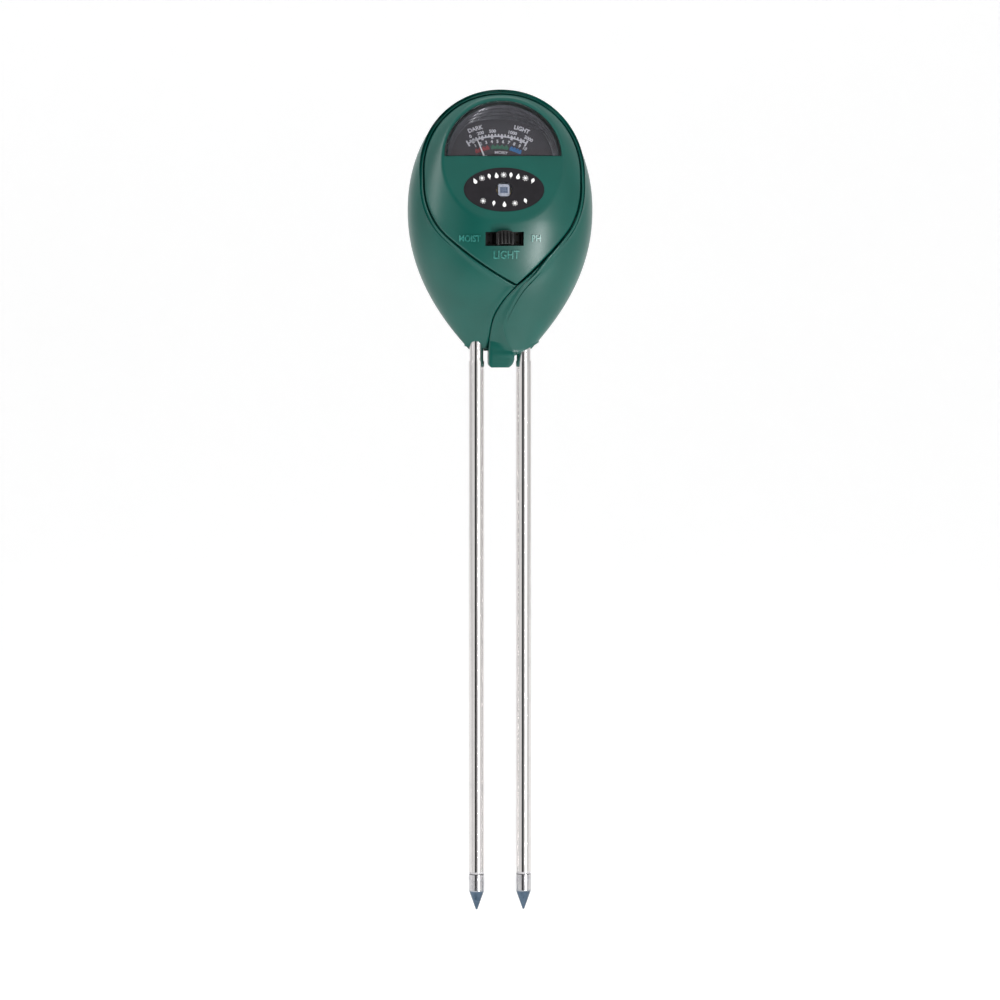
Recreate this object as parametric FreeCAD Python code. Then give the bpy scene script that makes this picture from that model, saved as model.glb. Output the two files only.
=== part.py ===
import FreeCAD, Part
import math
import os
from FreeCAD import Placement, Rotation, Vector

# Soil meter with a domed head, a sloping dial face and two long probes.
# Millimetres. X to the right seen from the front, the face looks along -Y, +Z up.
# Origin: middle of the flat foot of the stop tab, in the plane of the probe axes,
# which is also the plane where the two covers meet.

# ---------------------------------------------------------------- head
HEAD_WIDTH = 60.0           # widest place of the head
HEAD_TOP = 90.0             # top of the head above the stop tab's foot
HEAD_BOTTOM = 5.3           # lower edge of the covers, beside the tab
WIDEST_Z = 51.0             # height of the widest place
TAPER_DROP = 55.0           # how far below it the side lines would meet
DEEPEST_Z = 48.3            # height of the deepest place
FRONT_DEPTH = 21.0          # parting plane to the front of the wrap
REAR_DEPTH = 14.0           # parting plane to the back
PANEL_RISE = 1.3            # face panel stands this far above the wrap
PETAL_RISE = 1.3            # overlapping petal stands this far above the wrap
PETAL_FULL_Z = 45.0         # at this height and below
PETAL_FADE_Z = 80.0         # and no longer stands above it here
RIM_RISE = 3.0              # the petal flares out by this much more at its lower rim
RIM_FADE_Z = 22.0           # and not at all from here up
WALL = 2.0                  # wall of the covers and the face panel
ROOF_POWER = 2.05           # roundness above the widest place
TAPER_POWER = 2.1           # fullness of the side lines below it
KEEL_POWER = 1.8            # fullness of the front and back lines below the deepest
SECTION_POWER = 2.3         # squareness of each level section
SOCKET_TOP = 20.0           # the covers are solid round the probes below this
SEAM = 0.05                 # gap between pieces glued or laid together

# ---------------------------------------------------------------- face panel
TILT = 20.0                 # slope of the dial face, in degrees
FACET_DROP = 3.7            # middle of the badge, behind the panel's deepest place
FACET_Z = 57.9              # and its height
LEAF_SIDE_MARGIN = 5.0      # leaf outline of the panel inside the head's outline
LEAF_TOP_MARGIN = 1.7
LEAF_TIP_X = 4.3            # lower tip of the leaf
LEAF_TIP_Z = 27.4
PANEL_GAP = 0.35            # dark parting line round the face panel
LEDGE = 1.3                 # ledge of the wrap under the panel's edge
LEDGE_THICK = 1.5
WINDOW_BASE = 11.4          # straight edge of the window, above the badge's middle
WINDOW_R = 18.9             # round edge of the window
WINDOW_FRAME = 1.0          # wall round the window, behind the panel
WINDOW_FRAME_BACK = 2.95
LENS_PROUD = 0.5            # lens stands out of the panel
LENS_THICK = 1.5
LENS_SKIRT = 0.8
LENS_FIT = 0.1              # gap all round the lens
BADGE_WIDTH = 25.8
BADGE_HEIGHT = 14.8
BADGE_THICK = 0.6
BADGE_PROUD = 0.1
SENSOR_R = 2.6              # round sensor opening in the badge
SENSOR_POCKET_R = 2.85      # pocket behind it

# ---------------------------------------------------------------- meter movement
PIVOT_X = -1.4              # pointer axis on the sloping face
PIVOT_Z = 1.0
REST_ANGLE = -20.0          # pointer at rest, clockwise from straight up
DIAL_FRONT = 6.1            # depths are behind the sloping face
DIAL_THICK = 0.5
DIAL_R = 25.2               # round edge of the dial, about the pointer axis
DIAL_BASE = 9.5
POINTER_DEPTH = 4.7
POINTER_THICK = 0.25
POINTER_LENGTH = 18.9
POINTER_TAIL = 4.2
HUB_R = 1.3
STAFF_R = 0.35
STAFF_CLEARANCE = 0.07      # running fit in the jewels
JEWEL_R = 1.1
CORE_R = 3.9
YOKE_INNER_R = 6.6
YOKE_OUTER_R = 8.4
YOKE_FRONT = 8.0
YOKE_LENGTH = 7.0
FORMER_HALF = 4.5           # inside half width of the coil former
FORMER_THICK = 0.4
FORMER_FRONT = 7.0
FORMER_LENGTH = 9.0
COIL_BUILD = 0.8
COIL_WIDTH = 1.8
BRIDGE_THICK = 0.8
BRIDGE_FRONT = 3.3
BRIDGE_WIDTH = 3.0
BRIDGE_LEG = 1.3
SPRING_INNER_R = 0.9
SPRING_OUTER_R = 3.2
SPRING_TURNS = 3.5
SPRING_THICK = 0.12
SPRING_WIDTH = 0.4
POST_HALF = 0.3             # half width of the post that holds a spring's outer end
HOUSING_WALL = 1.2
CUP_END = 21.2

# ---------------------------------------------------------------- switch
SWITCH_Z = 42.15            # middle of the slot
SLOT_WIDTH = 12.3
SLOT_HEIGHT = 4.5
SWITCH_TRAVEL = 3.0         # each way from the middle
KNOB_WIDTH = 5.7
KNOB_HEIGHT = 4.4
KNOB_PROUD = 2.4
KNOB_RIBS = 5
CAN_WIDTH = 15.0
CAN_HEIGHT = 5.6
CAN_GAP = 2.0               # behind the panel's inner face
CAN_DEPTH = 5.2
CAN_WALL = 0.4

# ---------------------------------------------------------------- circuit board
BOARD_MARGIN = 18.5         # each side, inside the head's widest place
BOARD_BELOW = 10.65         # lower edge, below the middle of the switch
BOARD_ABOVE = 2.85          # upper edge, above it
BOARD_THICK = 1.3
RESISTORS = (-8.5, 0.0, 8.5)
RESISTOR_Z = 33.0
RESISTOR_R = 0.85
RESISTOR_HALF = 2.1         # half the barrel's length
RESISTOR_LEG = 3.0          # from its middle to each lead
LEAD_R = 0.2
SOLDER = 0.2                # wire ends stop this far from what they are soldered to

# ---------------------------------------------------------------- probes
PROBE_SPACING = 15.4
PROBE_R = 2.55
PROBE_BORE_R = 1.95
PROBE_NECK_R = 2.3          # turned down where the covers grip it
PROBE_NECK_Z = 2.0
PROBE_TOP = 24.6
PROBE_LENGTH = 178.0        # tip below the foot of the tab
TIP_LENGTH = 11.6
CONE_LENGTH = 6.4
RING_HEIGHT = 0.9
SPIGOT_LENGTH = 9.0
COLLAR_Z = 15.2
COLLAR_HEIGHT = 2.6
COLLAR_R = 3.3

# ---------------------------------------------------------------- stop tab
TAB_LEFT = -3.8
TAB_RIGHT = 4.35
TAB_FRONT = -3.6
TAB_BACK = 3.0
TAB_BACK_TOP = 6.5          # the tab's back leans in to the parting plane above this
TAB_ROOM_TOP = 9.1          # and the rear cover is cut away for it up to here
TAB_CORNER = 0.7
FOOT_RIGHT = 2.8            # right end of the flat foot,
FOOT_RISE = 2.0             # and where the larger corner above it ends
STEM_TOP = 24.0             # where the stem dies into the petal
STEM_RIGHT = ((TAB_RIGHT, 8.0), (1.8, 13.0), (2.8, 19.5), (4.6, STEM_TOP))
STEM_LEFT = ((2.6, STEM_TOP), (-0.9, 19.5), (-2.9, 13.0), (TAB_LEFT, 7.0))
STEM_FRONT = ((-12.6, STEM_TOP), (-10.2, 18.0), (-7.0, 12.0), (-4.4, 7.0), (TAB_FRONT, 3.0))
PETAL_START = (9.0, 33.0)   # the petal's edge leaves the panel here,
PETAL_BOW = (-2.4, 16.4)    # bows out to here past the leaf's tip,
PETAL_END_Z = 7.0           # and runs straight down from here

# ---------------------------------------------------------------- fasteners and wires
CASE_SCREWS = ((6.8, 61.0), (15.0, 27.0))    # inside the widest place, and height
SCREW_R = 1.0
SCREW_HEAD_R = 2.1
SCREW_HEAD = 1.3
SCREW_REACH = 4.4           # below the parting plane
SCREW_SEAT = 3.2            # head seat behind the parting plane
BOSS_R = 2.2
WELL_R = 2.4
SMALL_SCREW_R = 0.5
SMALL_HEAD_R = 0.85
WIRE_R = 0.4
PHOTOCELL_PAD = (10.4, 42.0)    # where the wires meet the board, across and up
MOVEMENT_PAD = (6.2, 37.0)
PROBE_PAD = (9.8, 37.0)

HALF_WIDTH = HEAD_WIDTH / 2
PANEL_DEPTH = FRONT_DEPTH + PANEL_RISE
PROBE_X = PROBE_SPACING / 2
CAN_FRONT = WALL + CAN_GAP - PANEL_DEPTH
BOARD_Y = CAN_FRONT + CAN_DEPTH + SEAM
KNOB_BACK = -PANEL_DEPTH - 0.3
FORMER_BACK = FORMER_FRONT + FORMER_LENGTH
COIL_FRONT = FORMER_FRONT - COIL_BUILD
COIL_BACK = FORMER_BACK + COIL_BUILD
YOKE_BACK = YOKE_FRONT + YOKE_LENGTH
FRONT_SPRING = 5.3
REAR_SPRING = COIL_BACK + 0.5
REAR_BRIDGE = COIL_BACK + 1.6
STAFF_FRONT = BRIDGE_FRONT + 0.6
STAFF_BACK = REAR_BRIDGE + BRIDGE_THICK - 0.6
RING_Z = -PROBE_LENGTH + TIP_LENGTH
TUBE_FOOT = RING_Z + RING_HEIGHT
LUG_Z = SOCKET_TOP + 1.2
FACE = Placement(Vector(0, FACET_DROP - PANEL_DEPTH, FACET_Z), Rotation(Vector(1, 0, 0), -TILT))
AXIS = FACE.multiply(Placement(Vector(PIVOT_X, 0, PIVOT_Z), Rotation()))
TURNED = AXIS.multiply(Placement(Vector(), Rotation(Vector(0, 1, 0), REST_ANGLE)))
BIG = 200.0


# ================================================================ small helpers
def box(x0, x1, y0, y1, z0, z1):
    return Part.makeBox(x1 - x0, y1 - y0, z1 - z0, Vector(x0, y0, z0))


def rod_y(x, z, radius, y0, y1):
    return Part.makeCylinder(radius, y1 - y0, Vector(x, y0, z), Vector(0, 1, 0))


def rod_z(x, y, radius, z0, z1):
    return Part.makeCylinder(radius, z1 - z0, Vector(x, y, z0), Vector(0, 0, 1))


def tube_y(x, z, outer, inner, y0, y1):
    return rod_y(x, z, outer, y0, y1).cut(rod_y(x, z, inner, y0, y1))


def tube_z(x, y, outer, inner, z0, z1):
    return rod_z(x, y, outer, z0, z1).cut(rod_z(x, y, inner, z0, z1))


def prism(edges, y0, y1):
    """A solid from a closed outline in the X-Z plane, between two depths."""
    wire = Part.Wire(Part.__sortEdges__(edges))
    face = Part.Face(wire)
    face.translate(Vector(0, y0, 0))
    return face.extrude(Vector(0, y1 - y0, 0))


def arc(start, through, end):
    points = [Vector(p[0], 0, p[1]) for p in (start, through, end)]
    return Part.Arc(*points).toShape()


def line(start, end):
    return Part.makeLine(Vector(start[0], 0, start[1]), Vector(end[0], 0, end[1]))


def outline(points):
    """Straight edges through points in the X-Z plane, closed."""
    return [line(a, b) for a, b in zip(points, points[1:] + points[:1])]


def placed(shape, placement):
    moved = shape.copy()
    moved.Placement = placement.multiply(moved.Placement)
    return moved


def group(shapes):
    return Part.makeCompound(shapes)


def wire(points, radius):
    """A round wire of straight runs joined by tangent arcs."""
    points = [Vector(p) for p in points]
    edges = []
    start = points[0]
    for before, corner, after in zip(points, points[1:], points[2:]):
        back = (before - corner).normalize()
        ahead = (after - corner).normalize()
        reach = 0.45 * min((before - corner).Length, (after - corner).Length)
        enter = corner + back * reach
        leave = corner + ahead * reach
        half_turn = (math.pi - back.getAngle(ahead)) / 2
        bend = reach / math.tan(half_turn)
        middle = (back + ahead).normalize()
        centre = corner + middle * math.hypot(bend, reach)
        top = centre - middle * bend
        edges.append(Part.makeLine(start, enter))
        edges.append(Part.Arc(enter, top, leave).toShape())
        start = leave
    edges.append(Part.makeLine(start, points[-1]))
    path = Part.Wire(edges)
    heading = points[1] - points[0]
    section = Part.Wire(Part.makeCircle(radius, points[0], heading))
    return path.makePipeShell([section], True, False)


# ================================================================ head surfaces
def half_width(z, inset):
    """Half width of the head's outline at a height, drawn in by inset."""
    if z >= WIDEST_Z:
        share = min(1.0, (z - WIDEST_Z) / (HEAD_TOP - inset - WIDEST_Z))
        return (HALF_WIDTH - inset) * (1 - share ** ROOF_POWER) ** (1 / ROOF_POWER)
    share = (WIDEST_Z - z) / (TAPER_DROP - 1.3 * inset)
    return (HALF_WIDTH - inset) * (1 - share ** TAPER_POWER)


def petal_lift(z):
    """How far the petal stands above the wrap: most at its lower rim, nothing near the top."""
    share = min(1.0, max(0.0, (z - PETAL_FULL_Z) / (PETAL_FADE_Z - PETAL_FULL_Z)))
    flare = max(0.0, (RIM_FADE_Z - z) / (RIM_FADE_Z - HEAD_BOTTOM))
    return PETAL_RISE * (1 + math.cos(math.pi * share)) / 2 + RIM_RISE * flare ** 2


def centre_depth(z, depth, foot, inset):
    """Depth of the dome on its middle line at a height, drawn in by inset."""
    if z >= DEEPEST_Z:
        share = min(1.0, (z - DEEPEST_Z) / (HEAD_TOP - inset - DEEPEST_Z))
        return (depth - inset) * (1 - share ** ROOF_POWER) ** (1 / ROOF_POWER)
    share = min(1.0, (DEEPEST_Z - z) / (DEEPEST_Z - foot))
    return (depth - inset) * (1 - share ** KEEL_POWER)


def dome(depth, side, inset=0.0, lift=None):
    """Solid half of the head: side -1 in front of the parting plane, +1 behind."""
    foot = HEAD_BOTTOM + 1.2 * inset
    crown = HEAD_TOP - inset
    levels = [foot + (WIDEST_Z - foot) * k / 15 for k in range(15)]
    levels += [WIDEST_Z + (crown - WIDEST_Z) * math.sin(math.pi / 2 * k / 13) for k in range(14)]
    grid = []
    for z in levels:
        wide = half_width(z, inset)
        deep = centre_depth(z, depth, foot, inset)
        if lift:
            deep += lift(z)
        if z == levels[0] or z == levels[-1]:
            deep = 0.0
        if z == levels[-1]:
            wide = 0.0
        grid.append([section_point(wide, deep * side, z, k / 24) for k in range(25)])
    surface = Part.BSplineSurface()
    surface.interpolate(grid)
    skin = surface.toShape()
    rim = [edge for edge in skin.Edges if edge.Length > 1e-6]
    floor = Part.Face(Part.Wire(Part.__sortEdges__(rim)))
    solid = Part.makeSolid(Part.makeShell([skin, floor]))
    if solid.Volume < 0:
        solid.reverse()
    return solid


def section_point(wide, deep, z, share):
    """One point of a level section, from the left edge (0) to the right edge (1)."""
    angle = math.pi * (share - 0.5)
    across = math.sin(angle)
    out = 0.0 if share in (0, 1) else math.cos(angle)
    scale = (abs(across) ** SECTION_POWER + abs(out) ** SECTION_POWER) ** (-1 / SECTION_POWER)
    return Vector(wide * across * scale, deep * out * scale, z)


def leaf_point(across, up):
    """A point of the leaf: across in half widths, up from its tip (0) to its top (1)."""
    height = HEAD_TOP - LEAF_TOP_MARGIN - LEAF_TIP_Z
    return (across * (HALF_WIDTH - LEAF_SIDE_MARGIN), LEAF_TIP_Z + up * height)


def grown(points, grow):
    """A closed outline's points moved outwards; they run anticlockwise seen from the front."""
    moved = []
    for before, here, after in zip(points[-1:] + points[:-1], points, points[1:] + points[:1]):
        back = Vector(here[0] - before[0], 0, here[1] - before[1]).normalize()
        ahead = Vector(after[0] - here[0], 0, after[1] - here[1]).normalize()
        along = (back + ahead).normalize()
        reach = grow / along.dot(ahead)
        moved.append((here[0] + along.z * reach, here[1] - along.x * reach))
    return moved


def leaf(grow):
    """Everything in front of the parting plane inside the panel's leaf-shaped outline."""
    points = [
        leaf_point(0, 1), leaf_point(-0.696, 0.89),
        leaf_point(-1, 0.55), leaf_point(-0.945, 0.39),
        leaf_point(-0.74, 0.262), leaf_point(-0.26, 0.108),
        (LEAF_TIP_X, LEAF_TIP_Z), leaf_point(0.54, 0.145),
        leaf_point(0.84, 0.287), leaf_point(0.97, 0.41),
        leaf_point(1, 0.55), leaf_point(0.696, 0.89),
    ]
    points = grown(points, grow)
    ends = points[2::2] + points[:1]
    edges = [arc(*three) for three in zip(points[::2], points[1::2], ends)]
    return prism(edges, -BIG, 0)


def behind_face(depth):
    """Everything more than depth behind the sloping face."""
    return placed(box(-BIG, BIG, depth, BIG, -BIG, BIG), FACE)


def d_shape(radius, lift, y0, y1):
    """Disc about the window's middle, cut off level at a lift above it, between two depths."""
    half = math.sqrt(radius ** 2 - lift ** 2)
    left = (-half, WINDOW_BASE + lift)
    right = (half, WINDOW_BASE + lift)
    edges = [arc(left, (0, WINDOW_BASE + radius), right), line(right, left)]
    return prism(edges, y0, y1)


def probe_cutters(radius, z0, z1):
    return group([rod_z(x, 0, radius, z0, z1) for x in (-PROBE_X, PROBE_X)])


def screw_places():
    return [(s * (HALF_WIDTH - inset), z) for inset, z in CASE_SCREWS for s in (-1, 1)]


# ================================================================ covers
def petal_region():
    """The part of the front that the overlapping petal covers."""
    tip = (LEAF_TIP_X, LEAF_TIP_Z)
    edges = [
        line((HALF_WIDTH * 2, 0), (HALF_WIDTH * 2, HEAD_TOP)),
        line((HALF_WIDTH * 2, HEAD_TOP), (PETAL_START[0], HEAD_TOP)),
        line((PETAL_START[0], HEAD_TOP), PETAL_START),
        line(PETAL_START, tip),
        arc(tip, PETAL_BOW, (TAB_LEFT, PETAL_END_Z)),
        line((TAB_LEFT, PETAL_END_Z), (TAB_LEFT, 0)),
        line((TAB_LEFT, 0), (HALF_WIDTH * 2, 0)),
    ]
    return prism(edges, -BIG, 0)


def stop_tab():
    """Stem of the petal, which runs down between the probes to a flat foot."""
    foot = [(TAB_LEFT, TAB_CORNER), (TAB_LEFT + TAB_CORNER, 0), (FOOT_RIGHT, 0),
            (TAB_RIGHT, FOOT_RISE)]
    front_view = prism(outline(foot + list(STEM_RIGHT + STEM_LEFT)), -BIG, BIG)
    side = [(TAB_BACK, 0), (TAB_BACK, TAB_BACK_TOP), (0, TAB_ROOM_TOP - 0.1), (0, STEM_TOP)]
    side += list(STEM_FRONT) + [(TAB_FRONT, 0), (TAB_BACK, 0)]
    side_face = Part.Face(Part.makePolygon([Vector(0, y, z) for y, z in side]))
    side_face.translate(Vector(-BIG / 2, 0, 0))
    return front_view.common(side_face.extrude(Vector(BIG, 0, 0)))


def collar_pockets():
    pockets = [rod_z(x, 0, COLLAR_R + SEAM, COLLAR_Z - SEAM, COLLAR_Z + COLLAR_HEIGHT + SEAM)
               for x in (-PROBE_X, PROBE_X)]
    return group(pockets)


def hollow(body, depth, side):
    cavity = dome(depth, side, WALL).common(box(-BIG, BIG, -BIG, BIG, SOCKET_TOP, BIG))
    return body.cut(cavity)


def front_cover():
    region = petal_region()
    petal = dome(FRONT_DEPTH, -1, 0.0, petal_lift).common(region)
    body = dome(FRONT_DEPTH, -1).cut(region).fuse(petal)
    body = hollow(body, FRONT_DEPTH, -1)
    ledge = dome(PANEL_DEPTH, -1, WALL - 0.5).cut(dome(PANEL_DEPTH, -1, WALL + LEDGE_THICK))
    ledge = ledge.common(leaf(WALL)).cut(leaf(-LEDGE))
    body = body.fuse(ledge.common(box(-BIG, BIG, -BIG, 0, SOCKET_TOP, BIG)))
    bosses = group([rod_y(x, z, BOSS_R, -BIG / 4, 0) for x, z in screw_places()])
    body = body.fuse(bosses.common(dome(FRONT_DEPTH, -1, 1.0)))
    seat = leaf(PANEL_GAP).cut(dome(PANEL_DEPTH, -1, WALL + SEAM))
    body = body.cut(seat).cut(leaf(-LEDGE).cut(dome(PANEL_DEPTH, -1, WALL + LEDGE_THICK + 1)))
    body = body.fuse(stop_tab())
    body = body.cut(probe_cutters(PROBE_NECK_R + SEAM, -1, PROBE_TOP))
    body = body.cut(collar_pockets())
    for x, z in screw_places():
        body = body.cut(rod_y(x, z, SCREW_R + SEAM, -SCREW_REACH - 0.5, 1))
    return body


def rear_cover():
    body = hollow(dome(REAR_DEPTH, 1), REAR_DEPTH, 1)
    bosses = group([rod_y(x, z, WELL_R + 1.0, 0, BIG / 4) for x, z in screw_places()])
    body = body.fuse(bosses.common(dome(REAR_DEPTH, 1, 1.0)))
    for x, z in screw_places():
        body = body.cut(rod_y(x, z, WELL_R, SCREW_SEAT, BIG / 4))
        body = body.cut(rod_y(x, z, SCREW_R + SEAM, -1, SCREW_SEAT + 1))
    body = body.cut(probe_cutters(PROBE_NECK_R + SEAM, -1, PROBE_TOP))
    body = body.cut(collar_pockets())
    tab_room = box(TAB_LEFT - SEAM, TAB_RIGHT + SEAM, -1, TAB_BACK + SEAM, -1, TAB_ROOM_TOP)
    return body.cut(tab_room)


def case_screws():
    screws = []
    for x, z in screw_places():
        shank = rod_y(x, z, SCREW_R, -SCREW_REACH, SCREW_SEAT)
        head = rod_y(x, z, SCREW_HEAD_R, SCREW_SEAT, SCREW_SEAT + SCREW_HEAD)
        screw = shank.fuse(head)
        for turn in (0, 90):
            slot = box(-1.3, 1.3, -0.7, 0.1, -0.25, 0.25)
            slot = placed(slot, Placement(Vector(), Rotation(Vector(0, 1, 0), turn)))
            slot.translate(Vector(x, SCREW_SEAT + SCREW_HEAD, z))
            screw = screw.cut(slot)
        screws.append(screw)
    return group(screws)


# ================================================================ face panel
def face_panel():
    outer = dome(PANEL_DEPTH, -1).common(behind_face(0))
    inner = dome(PANEL_DEPTH, -1, WALL).common(behind_face(WALL))
    body = outer.cut(inner).common(leaf(0))
    body = body.common(box(-BIG, BIG, -BIG, -2.0, 0, BIG))
    frame = d_shape(WINDOW_R + WINDOW_FRAME, -WINDOW_FRAME, WALL - 0.5, WINDOW_FRAME_BACK)
    frame = placed(frame, FACE).common(dome(PANEL_DEPTH, -1, WALL / 2))
    body = body.fuse(frame.common(leaf(-LEDGE - 0.2)))
    window = d_shape(WINDOW_R, 0, -BIG / 8, BIG / 8)
    badge = badge_blank(SEAM, -1, BADGE_THICK - BADGE_PROUD + SEAM)
    pocket = rod_y(0, 0, SENSOR_POCKET_R, 0, 5)
    for cutter in (window, badge, pocket):
        body = body.cut(placed(cutter, FACE))
    slot = box(-SLOT_WIDTH / 2, SLOT_WIDTH / 2, -BIG / 4, -15,
               SWITCH_Z - SLOT_HEIGHT / 2, SWITCH_Z + SLOT_HEIGHT / 2)
    return body.cut(slot)


def window_lens():
    front = -LENS_PROUD
    body = d_shape(WINDOW_R - LENS_FIT, LENS_FIT, front, WINDOW_FRAME_BACK)
    inset = LENS_FIT + LENS_SKIRT
    hollow = d_shape(WINDOW_R - inset, inset, front + LENS_THICK, WINDOW_FRAME_BACK + 1)
    return placed(body.cut(hollow), FACE)


def badge_blank(grow, y0, y1):
    across = BADGE_WIDTH / 2 + grow
    up = BADGE_HEIGHT / 2 + grow
    ellipse = Part.Ellipse(Vector(), across, up).toShape()
    face = Part.Face(Part.Wire(ellipse))
    face.rotate(Vector(), Vector(1, 0, 0), 90)
    face.translate(Vector(0, y0, 0))
    return face.extrude(Vector(0, y1 - y0, 0))


def badge_plate():
    plate = badge_blank(0, -BADGE_PROUD, BADGE_THICK - BADGE_PROUD)
    return placed(plate.cut(rod_y(0, 0, SENSOR_R, -1, 1)), FACE)


def sensor_lens():
    return placed(rod_y(0, 0, SENSOR_R - SEAM, 0, BADGE_THICK - BADGE_PROUD), FACE)


def photocell_body():
    body = box(-1.8, 1.8, 0.65, 1.8, -2.05, 2.05)
    body = body.makeFillet(0.6, [e for e in body.Edges if abs(e.BoundBox.YLength - 1.15) < 0.01])
    return placed(body.cut(box(-1.3, 1.3, 0, 0.75, -1.0, 1.1)), FACE)


def photocell_cell():
    return placed(box(-1.25, 1.25, 0.55, 0.75, -0.95, 1.05), FACE)


# ================================================================ meter movement
def meter_housing():
    floor_front = DIAL_FRONT + DIAL_THICK
    floor_back = floor_front + HOUSING_WALL
    outer_r = WINDOW_R + 0.3
    disc = rod_y(0, WINDOW_BASE, outer_r, floor_front, floor_back)
    disc = disc.common(box(-BIG, BIG, -BIG, BIG, DIAL_BASE - 3, BIG))
    apron = box(-13.0, 11.0, floor_front, floor_back, -9.4, WINDOW_BASE)
    wall = d_shape(outer_r, 0, WINDOW_FRAME_BACK + SEAM, floor_front)
    inside = rod_y(0, WINDOW_BASE, outer_r - 1.0, 0, floor_front)
    cup_r = YOKE_OUTER_R + SEAM
    cup = rod_y(PIVOT_X, PIVOT_Z, cup_r + HOUSING_WALL, floor_front, CUP_END)
    body = disc.fuse(apron).fuse(wall.cut(inside)).fuse(cup)
    body = body.cut(rod_y(PIVOT_X, PIVOT_Z, cup_r, 0, CUP_END - HOUSING_WALL))
    body = body.cut(rod_y(PIVOT_X, PIVOT_Z, 2.5, 0, BIG / 4))
    for x, z in dial_screw_places():
        body = body.cut(rod_y(x, z, SMALL_SCREW_R + SEAM, 0, BIG / 4))
    return placed(body, FACE)


def dial_screw_places():
    return [(side * 14.0, DIAL_BASE + 0.95) for side in (-1, 1)]


def dial_plate():
    disc = rod_y(PIVOT_X, PIVOT_Z, DIAL_R, DIAL_FRONT, DIAL_FRONT + DIAL_THICK)
    disc = disc.common(rod_y(0, WINDOW_BASE, WINDOW_R - 0.8, 0, BIG / 4))
    disc = disc.common(box(-BIG, BIG, 0, BIG, DIAL_BASE, BIG))
    for x, z in dial_screw_places():
        disc = disc.cut(rod_y(x, z, SMALL_SCREW_R + SEAM, 0, BIG / 4))
    return placed(disc, FACE)


def small_screw(x, z, seat, reach):
    shank = rod_y(x, z, SMALL_SCREW_R, seat, seat + reach)
    head = rod_y(x, z, SMALL_HEAD_R, seat - 0.5, seat)
    slot = box(x - 1, x + 1, seat - 0.6, seat - 0.3, z - 0.12, z + 0.12)
    return shank.fuse(head).cut(slot)


def dial_screws():
    screws = [small_screw(x, z, DIAL_FRONT, DIAL_THICK + HOUSING_WALL)
              for x, z in dial_screw_places()]
    return placed(group(screws), FACE)


def leg_places():
    middle = YOKE_OUTER_R - BRIDGE_LEG / 2 - 0.2
    return (-middle, middle)


def bridge(plate_front, leg_from, leg_to):
    """A bearing bridge: a bar across the coil with a leg at each end."""
    end = YOKE_OUTER_R - 0.2
    bar = box(-end, end, plate_front, plate_front + BRIDGE_THICK,
              -BRIDGE_WIDTH / 2, BRIDGE_WIDTH / 2)
    legs = [box(x - BRIDGE_LEG / 2, x + BRIDGE_LEG / 2, leg_from, leg_to,
                -BRIDGE_WIDTH / 2, BRIDGE_WIDTH / 2) for x in leg_places()]
    body = bar.fuse(legs).common(rod_y(0, 0, YOKE_OUTER_R, -BIG / 4, BIG / 4))
    body = body.cut(rod_y(0, 0, JEWEL_R + SEAM, -BIG / 4, BIG / 4))
    for x in leg_places():
        body = body.cut(rod_y(x, 0, SMALL_SCREW_R + SEAM, -BIG / 4, BIG / 4))
    return body


def spring_post(y0, y1):
    near = SPRING_OUTER_R + 0.1
    return box(near, near + 2 * POST_HALF, y0, y1, -POST_HALF, POST_HALF)


def front_bridge():
    body = bridge(BRIDGE_FRONT, BRIDGE_FRONT, YOKE_FRONT)
    post = spring_post(BRIDGE_FRONT + BRIDGE_THICK, FRONT_SPRING + SPRING_WIDTH)
    return placed(body.fuse(post), AXIS)


def rear_bridge():
    body = bridge(REAR_BRIDGE, YOKE_BACK, REAR_BRIDGE + BRIDGE_THICK)
    return placed(body.fuse(spring_post(REAR_SPRING, REAR_BRIDGE)), AXIS)


def front_jewel():
    plug = rod_y(0, 0, JEWEL_R, BRIDGE_FRONT - 0.3, BRIDGE_FRONT + BRIDGE_THICK + 0.35)
    hole = rod_y(0, 0, STAFF_R + STAFF_CLEARANCE, STAFF_FRONT - 0.1, BIG / 4)
    return placed(plug.cut(hole), AXIS)


def rear_jewel():
    plug = rod_y(0, 0, JEWEL_R, REAR_BRIDGE - 0.3, REAR_BRIDGE + BRIDGE_THICK + 0.3)
    hole = rod_y(0, 0, STAFF_R + STAFF_CLEARANCE, 0, STAFF_BACK + 0.1)
    return placed(plug.cut(hole), AXIS)


def yoke_ring():
    ring = tube_y(0, 0, YOKE_OUTER_R, YOKE_INNER_R, YOKE_FRONT, YOKE_BACK)
    for x in leg_places():
        ring = ring.cut(rod_y(x, 0, SMALL_SCREW_R + SEAM, 0, BIG / 4))
    return placed(ring, AXIS)


def core_magnet():
    return placed(rod_y(0, 0, CORE_R, YOKE_FRONT, YOKE_BACK), AXIS)


def core_supports():
    """Two straps that hold the magnet in the ring, clear of the coil's sweep."""
    middle = (YOKE_FRONT + YOKE_BACK) / 2
    bar = box(-0.9, 0.9, middle - 1.2, middle + 1.2, -YOKE_INNER_R - 1, YOKE_INNER_R + 1)
    gap = tube_y(0, 0, YOKE_INNER_R - 0.01, CORE_R + 0.01, YOKE_FRONT, YOKE_BACK)
    return placed(bar.common(gap), AXIS)


def movement_screws():
    screws = []
    for x in leg_places():
        screws.append(small_screw(x, 0, BRIDGE_FRONT, YOKE_FRONT - BRIDGE_FRONT + 2))
        back = small_screw(x, 0, -REAR_BRIDGE - BRIDGE_THICK, REAR_BRIDGE - YOKE_BACK + 2.8)
        screws.append(back.mirror(Vector(), Vector(0, 1, 0)))
    return placed(group(screws), AXIS)


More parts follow.
